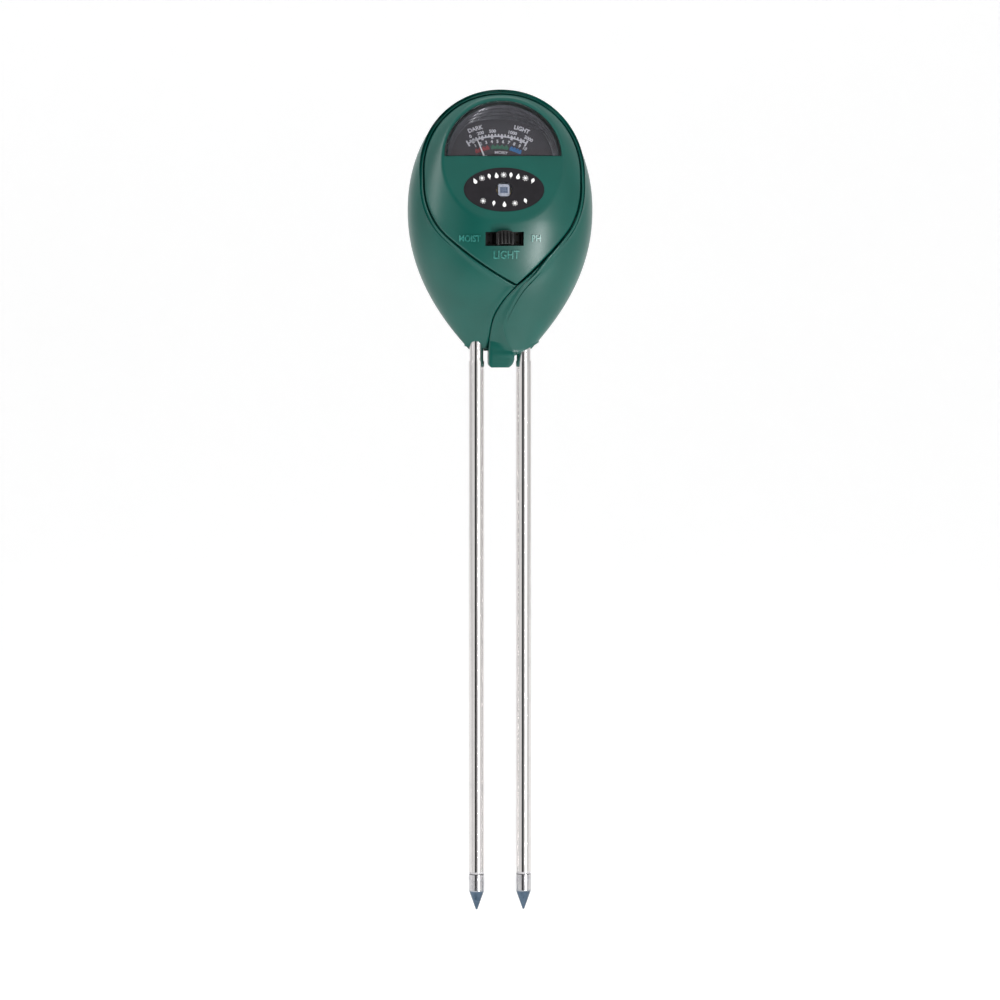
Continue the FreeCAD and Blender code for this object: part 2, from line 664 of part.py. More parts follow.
def spiral(front):
    """Flat spiral spring about the pointer axis, ending at the post."""
    def edge(offset):
        steps = 12 * int(math.ceil(SPRING_TURNS))
        points = []
        for k in range(steps + 1):
            turn = 2 * math.pi * SPRING_TURNS * (k / steps - 1)
            reach = SPRING_INNER_R + (SPRING_OUTER_R - SPRING_INNER_R) * k / steps + offset
            points.append(Vector(reach * math.cos(turn), 0, reach * math.sin(turn)))
        curve = Part.BSplineCurve()
        curve.interpolate(points)
        return curve.toShape(), points[0], points[-1]
    outer, outer_start, outer_end = edge(SPRING_THICK / 2)
    inner, inner_start, inner_end = edge(-SPRING_THICK / 2)
    caps = [Part.makeLine(outer_start, inner_start), Part.makeLine(outer_end, inner_end)]
    body = prism([outer, inner] + caps, front, front + SPRING_WIDTH)
    return placed(body, AXIS)


def needle():
    tip = 0.16
    root = 0.4
    blade = prism(outline([(-root, 0), (-tip, POINTER_LENGTH), (tip, POINTER_LENGTH), (root, 0)]),
                  POINTER_DEPTH, POINTER_DEPTH + POINTER_THICK)
    tail = box(-0.35, 0.35, POINTER_DEPTH, POINTER_DEPTH + POINTER_THICK, -POINTER_TAIL, 0)
    hub = rod_y(0, 0, HUB_R, POINTER_DEPTH, POINTER_DEPTH + POINTER_THICK)
    body = blade.fuse(tail).fuse(hub)
    return placed(body.cut(rod_y(0, 0, STAFF_R + 0.01, 0, BIG / 4)), TURNED)


def balance_weight():
    body = rod_y(0, -POINTER_TAIL - 0.55, 0.5, POINTER_DEPTH - 0.25, POINTER_DEPTH + 0.5)
    return placed(body, TURNED)


def loop(half, front, back, build, width):
    outer = box(-half - build, half + build, front - build, back + build, -width / 2, width / 2)
    return outer.cut(box(-half, half, front, back, -width, width))


def coil_former():
    body = loop(FORMER_HALF, FORMER_FRONT + FORMER_THICK, FORMER_BACK - FORMER_THICK,
                FORMER_THICK, COIL_WIDTH)
    return placed(body, TURNED)


def coil_winding():
    body = loop(FORMER_HALF + FORMER_THICK, FORMER_FRONT, FORMER_BACK, COIL_BUILD, COIL_WIDTH)
    corners = [e for e in body.Edges if abs(e.BoundBox.ZLength - COIL_WIDTH) < 0.01
               and e.BoundBox.XMax ** 2 > (FORMER_HALF + FORMER_THICK + 0.1) ** 2]
    return placed(body.makeFillet(0.5, corners), TURNED)


def pivot_staffs():
    base = 0.3
    front = rod_y(0, 0, STAFF_R, STAFF_FRONT, COIL_FRONT).fuse(
        rod_y(0, 0, COIL_WIDTH / 2, COIL_FRONT - base, COIL_FRONT))
    back = rod_y(0, 0, STAFF_R, COIL_BACK, STAFF_BACK).fuse(
        rod_y(0, 0, COIL_WIDTH / 2, COIL_BACK, COIL_BACK + base))
    return placed(group([front, back]), TURNED)


# ================================================================ switch and board
def switch_can():
    """Metal frame of the slide switch, open behind and slotted in front."""
    half = CAN_WIDTH / 2
    low = SWITCH_Z - CAN_HEIGHT / 2
    high = SWITCH_Z + CAN_HEIGHT / 2
    back = CAN_FRONT + CAN_DEPTH
    body = box(-half, half, CAN_FRONT, back, low, high)
    body = body.cut(box(-half + CAN_WALL, half - CAN_WALL, CAN_FRONT + CAN_WALL, back,
                        low + CAN_WALL, high - CAN_WALL))
    slot = KNOB_WIDTH / 2 - 0.6 + SWITCH_TRAVEL + 0.3
    return body.cut(box(-slot, slot, -BIG / 4, CAN_FRONT + 1, SWITCH_Z - 1.8, SWITCH_Z + 1.8))


def switch_base():
    half = CAN_WIDTH / 2 - CAN_WALL - SEAM
    rise = CAN_HEIGHT / 2 - CAN_WALL - SEAM
    back = CAN_FRONT + CAN_DEPTH
    body = box(-half, half, back - 1.2, back, SWITCH_Z - rise, SWITCH_Z + rise)
    for x, z in terminal_places():
        body = body.cut(terminal(x, z, SEAM))
    return body


def terminal_places():
    pitch = SWITCH_TRAVEL
    return [(pitch * k, SWITCH_Z + side * 1.2) for k in (-1.5, -0.5, 0.5, 1.5) for side in (-1, 1)]


def terminal(x, z, grow):
    back = CAN_FRONT + CAN_DEPTH
    pin = box(x - 0.25 - grow, x + 0.25 + grow, back - 1.6, BOARD_Y + BOARD_THICK + 0.6,
              z - 0.2 - grow, z + 0.2 + grow)
    return pin


def switch_terminals():
    return group([terminal(x, z, 0) for x, z in terminal_places()])


def switch_knob():
    inner_front = CAN_FRONT + CAN_WALL + 0.2
    stem_half = KNOB_WIDTH / 2 - 0.6
    stem = box(-stem_half, stem_half, KNOB_BACK, inner_front, SWITCH_Z - 1.5, SWITCH_Z + 1.5)
    slider = box(-stem_half - 1.0, stem_half + 1.0, inner_front, inner_front + 1.4,
                 SWITCH_Z - 2.0, SWITCH_Z + 2.0)
    low = SWITCH_Z - SLOT_HEIGHT / 2 + 0.7
    head = box(-KNOB_WIDTH / 2, KNOB_WIDTH / 2, KNOB_BACK - KNOB_PROUD, KNOB_BACK,
               low, low + KNOB_HEIGHT)
    body = stem.fuse(slider).fuse(head)
    pitch = KNOB_WIDTH / KNOB_RIBS
    for k in range(1, KNOB_RIBS):
        x = -KNOB_WIDTH / 2 + pitch * k
        body = body.cut(box(x - 0.2, x + 0.2, -BIG / 4, KNOB_BACK - KNOB_PROUD + 0.6, 0, BIG / 2))
    return body


def switch_contacts():
    """Two sprung contact strips on the back of the slider."""
    front = CAN_FRONT + CAN_WALL + 0.2 + 1.4
    return group([box(-2.4, 2.4, front, front + 0.3, z - 0.35, z + 0.35)
                  for z in (SWITCH_Z - 1.2, SWITCH_Z + 1.2)])


def circuit_board():
    half = HALF_WIDTH - BOARD_MARGIN
    body = box(-half, half, BOARD_Y, BOARD_Y + BOARD_THICK,
               SWITCH_Z - BOARD_BELOW, SWITCH_Z + BOARD_ABOVE)
    for x, z in terminal_places():
        body = body.cut(rod_y(x, z, 0.45, -BIG / 4, BIG / 4))
    return body


def resistors():
    bodies = []
    board_back = BOARD_Y + BOARD_THICK
    y = board_back + RESISTOR_R + 0.15
    for x in RESISTORS:
        left = Vector(x - RESISTOR_HALF, y, RESISTOR_Z)
        bodies.append(Part.makeCylinder(RESISTOR_R, 2 * RESISTOR_HALF, left, Vector(1, 0, 0)))
        for side in (-1, 1):
            start = Vector(x + side * RESISTOR_HALF, y, RESISTOR_Z)
            corner = Vector(x + side * RESISTOR_LEG, y, RESISTOR_Z)
            end = Vector(x + side * RESISTOR_LEG, board_back, RESISTOR_Z)
            bodies.append(wire([start, corner, end], LEAD_R))
    return group(bodies)


# ================================================================ wires
def face_point(x, depth, up):
    return FACE.multVec(Vector(x, depth, up))


def photocell_wires():
    across, up = PHOTOCELL_PAD
    wires = []
    for side in (-1, 1):
        points = [face_point(side * 0.8, 1.8 + SOLDER, 0.0), face_point(side * 1.6, 3.0, -3.6),
                  face_point(side * 7.0, 4.6, -8.4),
                  Vector(side * (across - 0.2), BOARD_Y - 3.15, up + 2.6),
                  Vector(side * across, BOARD_Y - SOLDER, up)]
        wires.append(wire(points, WIRE_R / 2))
    return group(wires)


def movement_wires():
    board_back = BOARD_Y + BOARD_THICK + SOLDER
    across, up = MOVEMENT_PAD
    wires = []
    for side in (-1, 1):
        start = AXIS.multVec(Vector(side * 1.7, CUP_END - 0.5, 0))
        out = AXIS.multVec(Vector(side * 2.0, CUP_END + 3.0, 0))
        points = [start, out, Vector(side * 4.5, 3.0, up + 5.0),
                  Vector(side * (across - 0.2), -4.0, up + 0.5),
                  Vector(side * across, board_back, up)]
        wires.append(wire(points, WIRE_R))
    return group(wires)


def probe_wire(side):
    board_back = BOARD_Y + BOARD_THICK + SOLDER
    x = side * PROBE_X
    points = [Vector(x + side * 1.0, 4.4, LUG_Z + 0.25 + SOLDER),
              Vector(x + side * 1.6, 5.6, LUG_Z + 5.0),
              Vector(x + side * 2.6, -1.0, LUG_Z + 12.0),
              Vector(side * PROBE_PAD[0], board_back, PROBE_PAD[1])]
    return wire(points, WIRE_R)


# ================================================================ probes
def probe_tube(x):
    body = rod_z(x, 0, PROBE_R, TUBE_FOOT, PROBE_NECK_Z)
    body = body.fuse(rod_z(x, 0, PROBE_NECK_R, PROBE_NECK_Z, PROBE_TOP))
    return body.cut(rod_z(x, 0, PROBE_BORE_R, TUBE_FOOT - 1, PROBE_TOP + 1))


def probe_collar(x):
    return tube_z(x, 0, COLLAR_R, PROBE_NECK_R + 0.01, COLLAR_Z, COLLAR_Z + COLLAR_HEIGHT)


def probe_ring(x):
    return tube_z(x, 0, PROBE_R - 0.2, PROBE_BORE_R - 0.25, RING_Z, TUBE_FOOT)


def probe_tip(x):
    spigot_r = PROBE_BORE_R - 0.02
    body = rod_z(x, 0, PROBE_R, RING_Z - TIP_LENGTH + CONE_LENGTH, RING_Z)
    cone = Part.makeCone(0.25, PROBE_R, CONE_LENGTH, Vector(x, 0, -PROBE_LENGTH))
    neck = rod_z(x, 0, PROBE_BORE_R - 0.3, RING_Z, TUBE_FOOT)
    spigot = rod_z(x, 0, spigot_r, TUBE_FOOT, TUBE_FOOT + SPIGOT_LENGTH)
    return body.fuse([cone, neck, spigot]).removeSplitter()


def probe_lug(side):
    x = side * PROBE_X
    ring = tube_z(x, 0, PROBE_NECK_R + 0.9, PROBE_NECK_R + 0.02, LUG_Z, LUG_Z + 0.5)
    tag = box(x + side * 1.0 - 0.8, x + side * 1.0 + 0.8, 2.9, 5.0, LUG_Z, LUG_Z + 0.25)
    body = ring.fuse(tag)
    return body.cut(rod_z(x, 0, PROBE_NECK_R + 0.02, LUG_Z - 1, LUG_Z + 1))


# ================================================================ export
def sides(make):
    return {"left": make(-PROBE_X), "right": make(PROBE_X)}


def all_pieces():
    pieces = {
        "front_cover": front_cover(), "rear_cover": rear_cover(), "case_screws": case_screws(),
        "face_panel": face_panel(), "window_lens": window_lens(), "badge_plate": badge_plate(),
        "sensor_lens": sensor_lens(), "photocell_body": photocell_body(),
        "photocell_cell": photocell_cell(), "photocell_wires": photocell_wires(),
        "meter_housing": meter_housing(), "dial_plate": dial_plate(),
        "dial_screws": dial_screws(), "front_bridge": front_bridge(),
        "rear_bridge": rear_bridge(), "front_jewel": front_jewel(), "rear_jewel": rear_jewel(),
        "yoke_ring": yoke_ring(), "core_magnet": core_magnet(),
        "core_supports": core_supports(), "movement_screws": movement_screws(),
        "front_hairspring": spiral(FRONT_SPRING), "rear_hairspring": spiral(REAR_SPRING),
        "pointer": needle(), "balance_weight": balance_weight(), "coil_former": coil_former(),
        "coil_winding": coil_winding(), "pivot_staffs": pivot_staffs(),
        "switch_frame": switch_can(), "switch_base": switch_base(),
        "switch_terminals": switch_terminals(), "switch_knob": switch_knob(),
        "switch_contacts": switch_contacts(), "circuit_board": circuit_board(),
        "resistors": resistors(), "movement_wires": movement_wires(),
        "probe_wire_left": probe_wire(-1), "probe_wire_right": probe_wire(1),
        "probe_lug_left": probe_lug(-1), "probe_lug_right": probe_lug(1),
    }
    for name, make in (("probe_tube", probe_tube), ("probe_collar", probe_collar),
                       ("probe_ring", probe_ring), ("probe_tip", probe_tip)):
        for side, shape in sides(make).items():
            pieces[name + "_" + side] = shape
    return pieces


os.makedirs("parts", exist_ok=True)
for name, shape in all_pieces().items():
    if len(shape.Solids) == 1:
        shape = shape.Solids[0]
    print(name, "solids", len(shape.Solids), "valid", shape.isValid(), round(shape.Volume, 2))
    shape.exportStep("parts/" + name + ".step")
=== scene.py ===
import math

import bmesh
import bpy
from mathutils import Matrix, Vector


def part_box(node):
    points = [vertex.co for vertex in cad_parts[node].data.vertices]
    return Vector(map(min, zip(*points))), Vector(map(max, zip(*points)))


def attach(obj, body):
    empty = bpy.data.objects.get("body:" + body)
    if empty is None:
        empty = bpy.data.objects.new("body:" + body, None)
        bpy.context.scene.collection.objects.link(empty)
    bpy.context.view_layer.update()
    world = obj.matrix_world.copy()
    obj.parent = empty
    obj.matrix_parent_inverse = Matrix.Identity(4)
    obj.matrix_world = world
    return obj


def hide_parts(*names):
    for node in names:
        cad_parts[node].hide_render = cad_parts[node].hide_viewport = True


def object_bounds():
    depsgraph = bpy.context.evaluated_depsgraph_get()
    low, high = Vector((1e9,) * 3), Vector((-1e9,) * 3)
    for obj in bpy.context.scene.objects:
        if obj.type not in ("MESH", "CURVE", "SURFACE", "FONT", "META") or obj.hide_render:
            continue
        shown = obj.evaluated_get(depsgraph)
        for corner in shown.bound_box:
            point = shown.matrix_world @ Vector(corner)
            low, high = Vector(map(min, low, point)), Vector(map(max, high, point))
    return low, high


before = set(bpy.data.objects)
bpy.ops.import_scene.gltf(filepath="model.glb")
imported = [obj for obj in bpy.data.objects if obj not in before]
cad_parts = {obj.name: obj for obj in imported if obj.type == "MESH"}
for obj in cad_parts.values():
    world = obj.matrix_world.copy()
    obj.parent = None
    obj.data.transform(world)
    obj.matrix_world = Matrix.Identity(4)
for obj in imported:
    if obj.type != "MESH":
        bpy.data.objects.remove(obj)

# Looks of a soil meter: a domed green head that wraps over itself like a leaf, a sloping
# dial face, a slide switch and two long polished probes. Places below are millimetres in
# the frame's own axes (X right, Z up, the face towards -Y) unless a name says metres.
MM = 0.001
CAD_LOW, CAD_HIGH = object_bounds()


def node_box(node):
    """Lowest and highest corner of a CAD node, in millimetres."""
    low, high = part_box(node)
    return low / MM, high / MM


# ---- sizes of the head
HEAD_TOP = CAD_HIGH.z / MM
HALF_WIDTH = CAD_HIGH.x / MM
HEAD_FOOT = 5.3
WIDEST_Z = 51.0
TAPER_DROP = 55.0
DEEPEST_Z = 48.3
FRONT_DEPTH = 21.0
PANEL_RISE = 1.3
PETAL_RISE = 1.3
PETAL_FULL_Z = 45.0
PETAL_FADE_Z = 80.0
RIM_RISE = 3.0
RIM_FADE_Z = 22.0
ROOF_POWER = 2.05
TAPER_POWER = 2.1
KEEL_POWER = 1.8
SECTION_POWER = 2.3
LEAF_SIDE_MARGIN = 5.0
LEAF_TOP_MARGIN = 1.7
LEAF_TIP = (4.3, 27.4)
PANEL_GAP = 0.45
FACET_SOFTNESS = 0.35       # how wide the facet's rim is eased
SHELL_WALL = 1.2

# ---- sizes of the face
TILT = math.radians(20.0)
FACET_DEPTH = 18.6          # middle of the badge, in front of the probes' plane
FACET_Z = 57.9
WINDOW_BASE = 11.4
WINDOW_R = 18.9
BADGE_HALF = (12.9, 7.4)
PIVOT = (-1.4, 1.0)
DIAL_DEPTH = 6.1
DIAL_R = 25.2
PRINT_LIFT = 0.03
SWITCH_Z = 42.15
SLOT_HALF = (6.15, 2.25)
BADGE_RECESS = 0.55
POCKET_R = 2.85             # bore behind the badge that the light cell sits in
BADGE_PLAY = 0.05
DIAL_TEETH = (              # first and last angle, count, radius from the arc, width, length
    (-26.0, 26.0, 18, 0.4, 0.5, 0.8),
    (-24.0, 24.0, 6, -0.1, 0.75, 1.3),
    (-29.2, 29.2, 2, 0.0, 0.55, 2.1),
    (-24.6, -19.4, 5, 0.0, 0.6, 0.8))
LEGENDS = (                 # text, middle across and up, letter size
    ("MOIST", -11.2, SWITCH_Z, 2.9), ("PH", 10.2, SWITCH_Z, 3.1), ("LIGHT", 0.6, 36.9, 3.7))
FACE = Matrix((
    (1, 0, 0, 0),
    (0, math.cos(TILT), math.sin(TILT), -FACET_DEPTH),
    (0, -math.sin(TILT), math.cos(TILT), FACET_Z),
    (0, 0, 0, 1)))


# ---- shader writing
def sums(operation, swapped=False):
    """A method of Figure that adds one Math node."""
    def method(self, other=0.0):
        pair = (other, self) if swapped else (self, other)
        made = self.paint.node("ShaderNodeMath", {"operation": operation}, dict(enumerate(pair)))
        return self.paint.out(made)
    return method


class Figure:
    """A value in a node tree. Sums on it add Math nodes."""

    def __init__(self, paint, socket):
        self.paint = paint
        self.socket = socket

    __add__ = __radd__ = sums("ADD")
    __mul__ = __rmul__ = sums("MULTIPLY")
    __sub__ = sums("SUBTRACT")
    __rsub__ = sums("SUBTRACT", True)
    __truediv__ = sums("DIVIDE")
    size = sums("ABSOLUTE")
    wave = sums("SINE")
    cosine = sums("COSINE")

    def step(self, low, high):
        """0 below low, 1 above high, and smooth between."""
        made = self.paint.node(
            "ShaderNodeMapRange", {"interpolation_type": "SMOOTHSTEP"},
            {"Value": self, "From Min": low, "From Max": high})
        return self.paint.out(made)


class Paint:
    """Writes the nodes of one tree."""

    def __init__(self, tree):
        self.tree = tree
        tree.nodes.clear()

    def node(self, kind, settings=None, sockets=None):
        """Adds a node: first its settings, then the values or links of its sockets."""
        made = self.tree.nodes.new(kind)
        for name, value in (settings or {}).items():
            setattr(made, name, value)
        for name, value in (sockets or {}).items():
            self.feed(made.inputs[name], value)
        return made

    def feed(self, socket, value):
        if isinstance(value, list):
            for part in value:
                self.feed(socket, part)
        elif isinstance(value, Figure):
            self.tree.links.new(value.socket, socket)
        elif isinstance(value, bpy.types.NodeSocket):
            self.tree.links.new(value, socket)
        elif isinstance(value, tuple) and len(value) == 3 and socket.type == "RGBA":
            socket.default_value = (*value, 1.0)
        else:
            socket.default_value = value

    def out(self, made, name=0):
        return Figure(self, made.outputs[name])

    def place(self):
        """Object coordinates, in metres."""
        return self.node("ShaderNodeTexCoord").outputs["Object"]

    def stretched(self, scale, turn=(0.0, 0.0, 0.0)):
        made = self.node("ShaderNodeMapping", None, {
            "Vector": self.place(), "Scale": scale, "Rotation": turn})
        return made.outputs[0]

    def axes(self, vector):
        made = self.node("ShaderNodeSeparateXYZ", None, {0: vector})
        return [self.out(made, k) for k in range(3)]

    def height(self):
        """How far up a point is, in metres."""
        return self.axes(self.place())[2]

    def noise(self, scale, detail=3.0, rough=0.5, vector=None):
        made = self.node("ShaderNodeTexNoise", None, {
            "Vector": vector or self.place(), "Scale": scale, "Detail": detail,
            "Roughness": rough})
        return self.out(made)

    def mixed(self, share, first, second):
        made = self.node("ShaderNodeMix", {"data_type": "RGBA"}, {0: share, 6: first, 7: second})
        return made.outputs[2]

    def bump(self, height, distance, strength=1.0):
        made = self.node("ShaderNodeBump", None, {
            "Height": height, "Distance": distance, "Strength": strength})
        return made.outputs[0]


class Finish(Paint):
    """A material with one Principled shader."""

    def __init__(self, name, slot):
        self.material = bpy.data.materials.new(name)
        self.material.use_nodes = True
        self.slot = slot
        super().__init__(self.material.node_tree)
        self.shader = self.node("ShaderNodeBsdfPrincipled")
        self.end = self.node("ShaderNodeOutputMaterial")
        self.feed(self.end.inputs["Surface"], self.shader.outputs[0])

    def set(self, **values):
        for name, value in values.items():
            title = name.replace("_", " ").title().replace("Ior", "IOR")
            self.feed(self.shader.inputs[title], value)
        return self


def shaded(colour, factor):
    return tuple(channel * factor for channel in colour)


def drifting(colour, darker, lighter, scale):
    """A base colour that drifts a little over the surface."""
    def base(finish, grain):
        drift = finish.noise(scale, 2.0)
        return finish.mixed(drift.step(0.3, 0.7), shaded(colour, darker), shaded(colour, lighter))
    return base


def between(first, second, low=0.35, high=0.7):
    """A base colour that goes from one to the other as the grain rises from low to high."""
    return lambda finish, grain: finish.mixed(grain.step(low, high), first, second)


def grained(name, slot, noise, base, rough, relief, **more):
    """A material whose roughness and relief follow one fine grain.

    noise is the grain's scale, detail and roughness. rough is what the grain adds, and the
    least roughness. relief is the bump's height in metres and its strength."""
    finish = Finish(name, slot)
    grain = finish.noise(*noise)
    return finish.set(base_color=base(finish, grain), roughness=grain * rough[0] + rough[1],
                      normal=finish.bump(grain, *relief), **more)


# ---- finishes
GREEN = (0.0012, 0.060, 0.047)


def moulded_green():
    """Satin green plastic with a fine spark-eroded grain and faint flow marks."""
    finish = Finish("moulded_green", "green_shell")
    grain = finish.noise(5200.0, 2.0)
    cloud = finish.noise(95.0, 3.0)
    flow = finish.noise(1.0, 3.0, 0.6, finish.stretched((60.0, 60.0, 420.0)))
    base = drifting(GREEN, 0.93, 1.07, 70.0)(finish, grain)
    dust = finish.noise(900.0, 4.0, 0.7).step(0.66, 0.8)
    base = finish.mixed(dust * 0.05, base, (0.10, 0.17, 0.15))
    relief = grain * 0.6 + flow * 0.4
    return finish.set(
        base_color=base, roughness=cloud * 0.07 + grain * 0.06 + 0.27,
        specular_ior_level=0.34,
        normal=finish.bump(relief, 0.00002, 0.35))


def rubbed_green():
    """The green plastic of the raised letters, coloured paler than the face as a painted highlight.
    """
    return grained("rubbed_green", "green_shell", (1500.0, 3.0, 0.6),
                   between((0.006, 0.105, 0.085), (0.035, 0.19, 0.165)), (0.15, 0.22),
                   (0.00002, 0.3))


def glossy_black():
    return grained("glossy_black_plastic", "black_plastic", (3600.0,),
                   drifting((0.012, 0.0115, 0.012), 0.8, 1.3, 200.0), (0.12, 0.28),
                   (0.00002, 0.3))


def switch_black():
    """Black moulding of the switch thumb, worn paler in scattered spots."""
    def base(finish, grain):
        worn = finish.noise(1400.0, 4.0, 0.65).step(0.6, 0.75)
        return finish.mixed(worn * 0.25, (0.0035, 0.0033, 0.0033), (0.03, 0.027, 0.026))
    return grained("switch_black", "black_plastic", (2500.0,), base, (0.2, 0.3),
                   (0.00003, 0.4), specular_ior_level=0.3)


def spacer_ring():
    """Pale insulating ring with a dark line along its lower joint."""
    def base(finish, grain):
        above_line = finish.height().step(-0.16625, -0.1661)
        return finish.mixed(above_line, (0.03, 0.03, 0.03), (0.42, 0.41, 0.42))
    return grained("spacer_ring", "black_plastic", (2500.0,), base, (0.2, 0.2), (0.00002, 0.3))


def window_clear():
    """Clear polystyrene: see-through, with a sheen that grows at the edges, and fine hairlines."""
    finish = Finish("window_clear", "clear_plastic")
    hairline = finish.noise(1.0, 4.0, 0.6, finish.stretched((300.0, 300.0, 2600.0), (0.0, 0.5, 0.0)))
    scuff = finish.noise(260.0, 5.0, 0.65).step(0.52, 0.8)
    finish.set(base_color=finish.mixed(scuff, (0.92, 0.94, 0.96), (0.8, 0.83, 0.86)),
               metallic=1.0, roughness=scuff * 0.12 + 0.06,
               normal=finish.bump(hairline, 0.00001, 0.25))
    clear = finish.node("ShaderNodeBsdfTransparent", None, {0: (0.93, 0.93, 0.95)})
    shine = finish.out(finish.node("ShaderNodeFresnel", None, {"IOR": 1.52}))
    share = shine * 0.5 + scuff * 0.008
    blend = finish.node("ShaderNodeMixShader", None, {
        0: share, 1: clear.outputs[0], 2: finish.shader.outputs[0]})
    finish.feed(finish.end.inputs["Surface"], blend.outputs[0])
    return finish


def bezel_smoke():
    """Stepped surround under the window: smoky moulded plastic that catches light on its steps."""
    return grained("bezel_smoke", "black_plastic", (700.0, 3.0, 0.6),
                   between((0.05, 0.049, 0.056), (0.085, 0.084, 0.094), 0.35, 0.75),
                   (0.12, 0.18), (0.00001, 0.25))


def dial_board():
    """Printed dial: dark purple-grey ink with a fine paper tooth, warmer at its foot."""
    def base(finish, tooth):
        ground = finish.mixed(finish.noise(300.0), (0.035, 0.03, 0.037), (0.047, 0.041, 0.05))
        warm = (1.0 - finish.height().step(0.0665, 0.0725)) * 0.3
        return finish.mixed(warm, ground, (0.11, 0.035, 0.035))
    return grained("dial_board", "dial_print", (6000.0,), base, (0.14, 0.48), (0.00001, 0.3))


def ink(name, colour, slot="dial_print"):
    """Screen-printed ink with a slightly uneven lay."""
    return grained(name, slot, (4200.0, 3.0, 0.6),
                   between(shaded(colour, 0.84), colour, 0.35, 0.75), (0.15, 0.42),
                   (0.000008, 0.3))


def badge_black():
    return grained("badge_black", "badge_print", (3300.0,),
                   drifting((0.0065, 0.0055, 0.0075), 0.85, 1.25, 400.0), (0.12, 0.36),
                   (0.00001, 0.3), specular_ior_level=0.25)


def polished_nickel():
    """Bright nickel on drawn tube: lengthwise draw lines, a few handling smudges."""
    finish = Finish("polished_nickel", "nickel_plate")
    drawn = finish.noise(1.0, 4.0, 0.6, finish.stretched((3000.0, 3000.0, 18.0)))
    smudge = finish.noise(120.0, 4.0, 0.6).step(0.45, 0.75)
    fleck = finish.noise(1500.0, 4.0, 0.7).step(0.68, 0.78)
    base = finish.mixed(smudge * 0.5, (0.79, 0.765, 0.755), (0.66, 0.645, 0.645))
    base = finish.mixed(fleck * 0.3, base, (0.42, 0.40, 0.39))
    return finish.set(base_color=base, metallic=1.0, roughness=drawn * 0.07 + smudge * 0.06 + 0.07,
                      normal=finish.bump(drawn, 0.000008, 0.22))


def turned_tip():
    """Bluish grey turned metal with fine lathe rings."""
    finish = Finish("turned_tip", "tip_metal")
    up = finish.height()
    rings = (up * 18000.0).wave() * 0.5 + 0.5
    stain = finish.noise(420.0, 4.0, 0.6).step(0.4, 0.75)
    barrel = up.step(-0.1722, -0.1712)
    point = finish.mixed(stain, (0.08, 0.115, 0.16), (0.045, 0.07, 0.10))
    base = finish.mixed(stain, (0.62, 0.61, 0.62), (0.45, 0.45, 0.47))
    base = finish.mixed(barrel, point, base)
    return finish.set(base_color=base, metallic=1.0,
                      roughness=stain * 0.1 + rings * 0.05 + 0.2 - barrel * 0.08,
                      normal=finish.bump(rings * 0.5 + stain * 0.5, 0.00002, 0.35))


def plain_metal(name, slot, colour, roughness):
    """Rolled or turned metal with brushed lines and light tarnish."""
    finish = Finish(name, slot)
    brushed = finish.noise(1.0, 4.0, 0.6, finish.stretched((400.0, 4000.0, 4000.0)))
    tarnish = finish.noise(500.0, 4.0, 0.6).step(0.45, 0.8)
    base = finish.mixed(tarnish * 0.6, colour, shaded(colour, 0.55))
    return finish.set(base_color=base, metallic=1.0,
                      roughness=tarnish * 0.15 + brushed * 0.1 + roughness,
                      normal=finish.bump(brushed, 0.00001, 0.3))


def wound_copper():
    """Enamelled wire laid side by side."""
    finish = Finish("wound_copper", "copper_coil")
    along = finish.axes(finish.stretched((1.0, 1.0, 1.0), (0.0, math.radians(20.0), 0.0)))[0]
    turns = (along * 42000.0).wave() * 0.5 + 0.5
    base = finish.mixed(turns, (0.30, 0.07, 0.02), (0.72, 0.27, 0.11))
    return finish.set(base_color=base, metallic=1.0, roughness=0.32 + turns * 0.05,
                      normal=finish.bump(turns, 0.00004, 0.6))


def silicon_blue():
    """Blue-grey cell with the thin silver fingers of its contacts."""
    finish = Finish("silicon_blue", "silicon_cell")
    across, _, up = finish.axes(finish.place())
    grid = (across * 5200.0 + 1.57).wave().size().step(0.93, 0.99)
    bars = (up * 4600.0).wave().size().step(0.95, 0.995)
    lines = grid + bars * 0.8
    crystal = finish.noise(2200.0, 2.0)
    base = finish.mixed(crystal.step(0.35, 0.65), (0.06, 0.10, 0.17), (0.11, 0.17, 0.27))
    base = finish.mixed(lines * 0.6, base, (0.45, 0.5, 0.58))
    return finish.set(base_color=base, roughness=crystal * 0.1 + 0.2)


def silver_frame():
    return grained("silver_frame", "white_enamel", (2600.0, 4.0, 0.6),
                   between((0.58, 0.63, 0.70), (0.82, 0.86, 0.92)), (0.2, 0.3), (0.00002, 0.4))


def white_paint():
    def base(finish, lay):
        return finish.mixed(lay, (0.86, 0.85, 0.84), (0.95, 0.94, 0.93))
    return grained("white_paint", "white_enamel", (2500.0,), base, (0.1, 0.35), (0.00001, 0.2))


def sleeve_plastic():
    """Thin wire sheath, a little glossy."""
    return grained("wire_sheath", "wire_sheath", (1800.0,),
                   drifting((0.42, 0.03, 0.025), 0.8, 1.1, 300.0), (0.15, 0.35), (0.00002, 0.3))


def woven_board():
    """Phenolic laminate with the weave of its cloth showing through."""
    finish = Finish("woven_board", "board_laminate")
    across, _, up = finish.axes(finish.place())
    weave = (across * 9000.0).wave() * (up * 9000.0).wave() * 0.5 + 0.5
    base = finish.mixed(weave, (0.20, 0.105, 0.035), (0.27, 0.15, 0.055))
    return finish.set(base_color=base, roughness=weave * 0.1 + 0.42,
                      normal=finish.bump(weave, 0.00002, 0.4))


